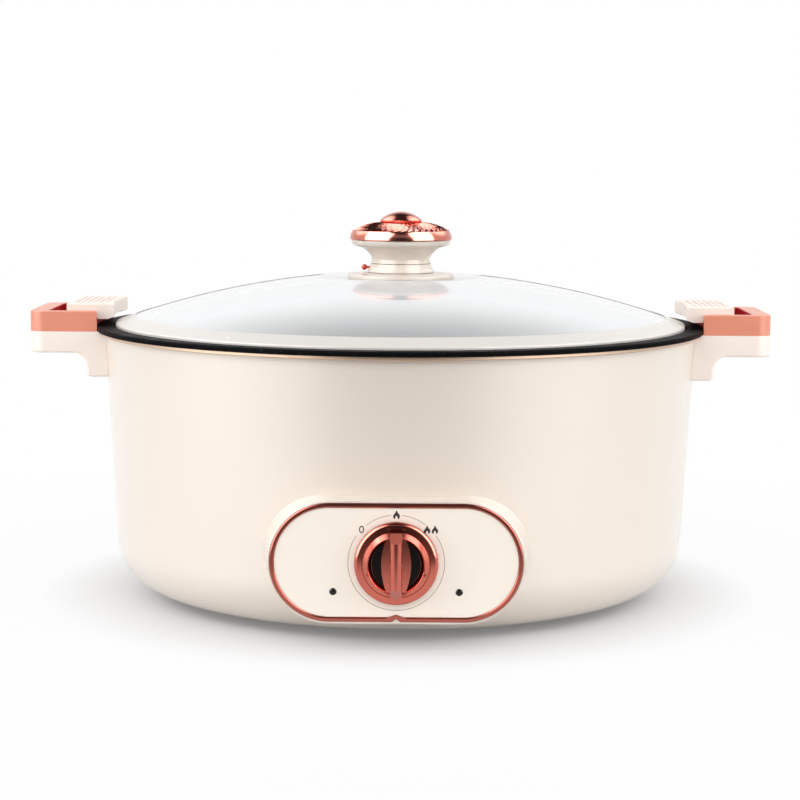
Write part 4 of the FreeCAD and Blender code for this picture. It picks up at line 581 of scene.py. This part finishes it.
def film(name, loops, ink_name):
    """A printed film from closed loops of (x, z) points; a second loop is a hole."""
    build = bmesh.new()
    edges = []
    for loop in loops:
        corners = [build.verts.new((x, face_y, z)) for x, z in loop]
        following = corners[1:] + corners[:1]
        edges += [build.edges.new(pair) for pair in zip(corners, following)]
    filled = bmesh.ops.triangle_fill(build, edges=edges, use_beauty=True, use_dissolve=False)
    faces = [item for item in filled["geom"] if isinstance(item, bmesh.types.BMFace)]
    raised = bmesh.ops.extrude_face_region(build, geom=faces)
    moved = [item for item in raised["geom"] if isinstance(item, bmesh.types.BMVert)]
    bmesh.ops.translate(build, verts=moved, vec=(0.0, -FILM_THICKNESS, 0.0))
    bmesh.ops.recalc_face_normals(build, faces=build.faces)
    mesh = bpy.data.meshes.new(name)
    build.to_mesh(mesh)
    build.free()
    mesh.materials.append(Finish.made[ink_name].material)
    piece = bpy.data.objects.new(name, mesh)
    bpy.context.scene.collection.objects.link(piece)
    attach(piece, "pot")
    print(name, "with", len(mesh.polygons), "faces")


print("films lie on the face at y", round(face_y, 5))

# %% [markdown]
# ## Thin circle round the dial
#
# The circle shows how far the dial turns, and it stops short of each mark. A bevelled curve
# would give a round wire, and this line is flat. So each arc is a band between two radii, with
# a point every two degrees, which is smooth at this size.

# %% Three arcs
CIRCLE = 0.0235
LINE_WIDTH = 0.00032
DEGREES_PER_STEP = 2
ARCS = {
    "scale_line_low_to_high": (6.5, 36.5),
    "scale_line_off_to_low": (-38.5, -6.5),
    "scale_line_round": (54.5, 304.5),
}


def around(degrees, radius):
    """A point round the dial's axis, from the top, clockwise."""
    turn = math.radians(degrees)
    return (radius * math.sin(turn), dial.z + radius * math.cos(turn))


for name, (start, end) in ARCS.items():
    steps = max(2, int(abs(end - start) / DEGREES_PER_STEP))
    angles = [start + (end - start) * i / steps for i in range(steps + 1)]
    outer = [around(angle, CIRCLE + LINE_WIDTH / 2) for angle in angles]
    inner = [around(angle, CIRCLE - LINE_WIDTH / 2) for angle in reversed(angles)]
    film(name, [outer + inner], "printing_ink_grey")

# %% [markdown]
# ## Flames
#
# One flame at the top is the low heat and two at the right are the high heat. A flame could be
# a Bezier curve with a few handles, but two dozen points are easier to read and to correct. It
# is a drop with a curled top and a small hollow at its foot, drawn one unit high.

# %% One flame and a pair
FLAME = [
    (-0.06, 1.0), (0.10, 0.84), (0.18, 0.66), (0.22, 0.52), (0.30, 0.60), (0.40, 0.40),
    (0.45, 0.20), (0.44, 0.02), (0.36, -0.14), (0.22, -0.22), (0.16, -0.10), (0.15, 0.04),
    (0.06, 0.18), (-0.02, 0.26), (-0.10, 0.14), (-0.17, 0.02), (-0.17, -0.12), (-0.24, -0.22),
    (-0.38, -0.12), (-0.46, 0.04), (-0.45, 0.24), (-0.34, 0.44), (-0.20, 0.60), (-0.10, 0.78),
]
FLAME_MIDDLE = 0.39
LOW_HEAT, HIGH_HEAT = 0.0, 45.5
LOW_FLAME_SIZE, HIGH_FLAME_SIZE = 0.0036, 0.0034
LOW_FLAME_LIFT = 0.0002
HALF_PAIR = 0.0019


def flame(name, x, z, size):
    film(name, [[(x + size * u, z + size * (v - FLAME_MIDDLE)) for u, v in FLAME]],
         "printing_ink")


flame("mark_low_flame", *around(LOW_HEAT, CIRCLE + LOW_FLAME_LIFT), LOW_FLAME_SIZE)
high_x, high_z = around(HIGH_HEAT, CIRCLE)
flame("mark_high_flame_left", high_x - HALF_PAIR, high_z, HIGH_FLAME_SIZE)
flame("mark_high_flame_right", high_x + HALF_PAIR, high_z, HIGH_FLAME_SIZE)

# %% [markdown]
# ## Zero
#
# The dial's first stop is off, and a plain zero says so. A text object could print it, in
# whatever typeface Blender has. Two ellipses make one that is the same on every machine, and
# the inner one becomes the hole.

# %% The off mark
OFF = -46.0
ZERO_SIZE = 0.0036
ZERO_POINTS = 32
ZERO_OUTSIDE, ZERO_HOLE = (0.34, 0.5), (0.20, 0.35)


def ellipse(x, z, half_width, half_height):
    turns = [2 * math.pi * i / ZERO_POINTS for i in range(ZERO_POINTS)]
    return [(x + half_width * math.cos(t), z + half_height * math.sin(t)) for t in turns]


film(
    "mark_off_zero",
    [
        ellipse(*around(OFF, CIRCLE), ZERO_SIZE * half_width, ZERO_SIZE * half_height)
        for half_width, half_height in (ZERO_OUTSIDE, ZERO_HOLE)
    ],
    "printing_ink",
)

# %% [markdown]
# ## Floor
#
# The pot stands on a pale table top. A curved paper backdrop would do, but a flat sheet 12 m
# across is enough, because the next step lets it run out into the white background.

# %% Floor sheet
FLOOR_HALF = 6.0
PAPER = (0.6, 0.6, 0.6, 1.0)
UNLIT = (0.05, 0.05, 0.05, 1.0)

floor_mesh = bpy.data.meshes.new("floor")
floor_mesh.from_pydata(
    [(-FLOOR_HALF, -FLOOR_HALF, 0.0), (FLOOR_HALF, -FLOOR_HALF, 0.0),
     (FLOOR_HALF, FLOOR_HALF, 0.0), (-FLOOR_HALF, FLOOR_HALF, 0.0)],
    [], [(0, 1, 2, 3)],
)
floor = bpy.data.objects.new("floor", floor_mesh)
bpy.context.scene.collection.objects.link(floor)
ground = Finish("pale_floor", PAPER, 0.6, Specular_IOR_Level=0.2)
ground.roughen(ground.noise(2.0, 2.0), 0.58, 0.64)
floor_mesh.materials.append(ground.material)
print("floor", 2 * FLOOR_HALF, "m across")

# %% [markdown]
# ## Floor that runs out into white
#
# A white floor lit until it is white would throw light back at the pot and lose the shadow. So
# the floor stays a mid grey that takes shadows, and a white glow is mixed over it for what the
# camera, mirrors and glass see. The glow is weak under the pot and full half a metre away. Only
# the camera sees the front of the floor white. To mirrors that part is dark, as the room ahead
# of the pot is.

# %% Mix the glow over the floor
UNDER_POT, OUTSIDE_POT, POT_EDGE = 0.15, 0.93, (0.13, 0.2)
FAR_EXTRA, FAR_RANGE = 0.07, (0.2, 0.5)
PAPER_FRONT = (-0.44, -0.32)

rays = ground.add("ShaderNodeLightPath").outputs
in_mirrors = ground.maths("MAXIMUM", rays["Is Camera Ray"], rays["Is Glossy Ray"])
seen = ground.maths("MAXIMUM", in_mirrors, rays["Is Transmission Ray"])

away = ground.add("ShaderNodeVectorMath", operation="LENGTH")
ground.join(ground.place, away.inputs[0])
from_middle = away.outputs["Value"]
share = ground.maths(
    "ADD",
    ground.spread(from_middle, UNDER_POT, OUTSIDE_POT, *POT_EDGE),
    ground.spread(from_middle, 0.0, FAR_EXTRA, *FAR_RANGE),
)

along = ground.add("ShaderNodeSeparateXYZ")
ground.join(ground.place, along.inputs["Vector"])
paper = ground.spread(along.outputs["Y"], 0.0, 1.0, *PAPER_FRONT)
ground.tint(paper, [(0.0, UNLIT), (1.0, PAPER)])
white = ground.maths("MULTIPLY", share, ground.maths("MAXIMUM", paper, rays["Is Camera Ray"]))

glow = ground.add("ShaderNodeEmission")
glow.inputs["Color"].default_value = (1.0, 1.0, 1.0, 1.0)
glow.inputs["Strength"].default_value = 1.0
blend = ground.add("ShaderNodeMixShader")
ground.join(ground.maths("MULTIPLY", seen, white), blend.inputs["Fac"])
ground.join(ground.shader.outputs["BSDF"], blend.inputs[1])
ground.join(glow.outputs["Emission"], blend.inputs[2])
ground.join(blend.outputs["Shader"], ground.output.inputs["Surface"])
tell("pale_floor")

# %% [markdown]
# ## Room
#
# Plating shows the room more than itself. In an all-white room it looks flat, and with a
# panorama picture it would show a room that isn't there. So the world is computed from the
# direction alone. It is white for the camera and through glass. In mirrors it is white behind
# the pot and at its sides, dark ahead and in a zone overhead, and two bright spots high at the
# back light the flutes. As a light it stays even and soft.

# %% World seen by each kind of ray
world = bpy.data.worlds.new("studio")
bpy.context.scene.world = world
room = Tree(world)
direction = room.add("ShaderNodeTexCoord").outputs["Generated"]


def towards(axis, away_level, facing_level, start, end):
    """A level that changes as the direction turns to an axis."""
    turned = room.add("ShaderNodeVectorMath", operation="DOT_PRODUCT")
    room.join(direction, turned.inputs[0])
    turned.inputs[1].default_value = axis
    return room.spread(turned.outputs["Value"], away_level, facing_level, start, end,
                       "SMOOTHSTEP")


beside = room.maths("MAXIMUM", towards((1.0, 0.0, 0.0), 0.0, 1.0, 0.2, 0.45),
                    towards((-1.0, 0.0, 0.0), 0.0, 1.0, 0.2, 0.45))
overhead = room.maths("MAXIMUM", towards((0.0, 0.0, 1.0), 1.0, 0.05, 0.44, 0.76), beside)
ahead = towards((0.0, -1.0, 0.0), 1.0, 0.04, 0.68, 0.97)
in_a_mirror = room.maths("MULTIPLY", ahead, overhead)
for sign in (-1.0, 1.0):
    bright_spot = towards((0.62 * sign, 0.4, 0.67), 0.0, 2.5, 0.86, 0.97)
    in_a_mirror = room.maths("ADD", in_a_mirror, bright_spot)
as_a_light = towards((0.0, 1.0, 0.0), 0.74, 0.48, -0.2, 0.8)

rays = room.add("ShaderNodeLightPath").outputs
strength = room.spread(rays["Is Glossy Ray"], as_a_light, in_a_mirror, 0.0, 1.0)
plain = room.maths("MAXIMUM", rays["Is Camera Ray"], rays["Is Transmission Ray"])
strength = room.spread(plain, strength, 1.0, 0.0, 1.0)

background = room.add("ShaderNodeBackground")
background.inputs["Color"].default_value = (1.0, 1.0, 1.0, 1.0)
room.join(strength, background.inputs["Strength"])
room.join(background.outputs["Background"],
          room.add("ShaderNodeOutputWorld").inputs["Surface"])
print("room of", len(room.tree.nodes), "nodes")

# %% [markdown]
# ## Soft boxes and reflectors
#
# A round wall looks round when each side carries one broad highlight and the middle is a shade
# deeper. Real soft boxes light the pot and show in it at once. Here the two tasks are parted,
# so that each can be set alone: four soft boxes light the pot but aren't mirrored, and two tall
# reflectors at the sides only show in what is glossy.

# %% Lights
AIM = (0.0, 0.0, 0.09)


def soft_box(name, place, width, height, power):
    data = bpy.data.lights.new(name, "AREA")
    data.shape = "RECTANGLE"
    data.size = width
    data.size_y = height
    data.energy = power
    lamp = bpy.data.objects.new(name, data)
    bpy.context.scene.collection.objects.link(lamp)
    lamp.location = place
    lamp.rotation_euler = (Vector(place) - Vector(AIM)).to_track_quat("Z", "Y").to_euler()
    print(name, power, "W")
    return lamp


for lamp in (
    soft_box("soft_box_left", (-1.44, -0.56, 0.5), 1.2, 1.5, 14.5),
    soft_box("soft_box_right", (1.44, -0.56, 0.5), 1.2, 1.5, 13.0),
    soft_box("soft_box_front", (0.0, -1.7, 1.5), 2.2, 0.9, 11.5),
    soft_box("soft_box_top", (0.0, 0.2, 1.7), 1.0, 0.7, 5.0),
):
    lamp.visible_glossy = False
for reflector in (
    soft_box("reflector_left", (-1.36, -0.85, 0.8), 2.0, 2.2, 74.0),
    soft_box("reflector_right", (1.3, -0.93, 0.8), 1.6, 2.2, 56.0),
):
    reflector.visible_diffuse = False

# %% [markdown]
# ## Colours on the screen
#
# Blender's usual view softens bright colours as film does, which turns a white ground grey. The
# Standard view shows each colour as it is written.

# %% Standard view
view = bpy.context.scene.view_settings
view.view_transform = "Standard"
print("view", view.view_transform)
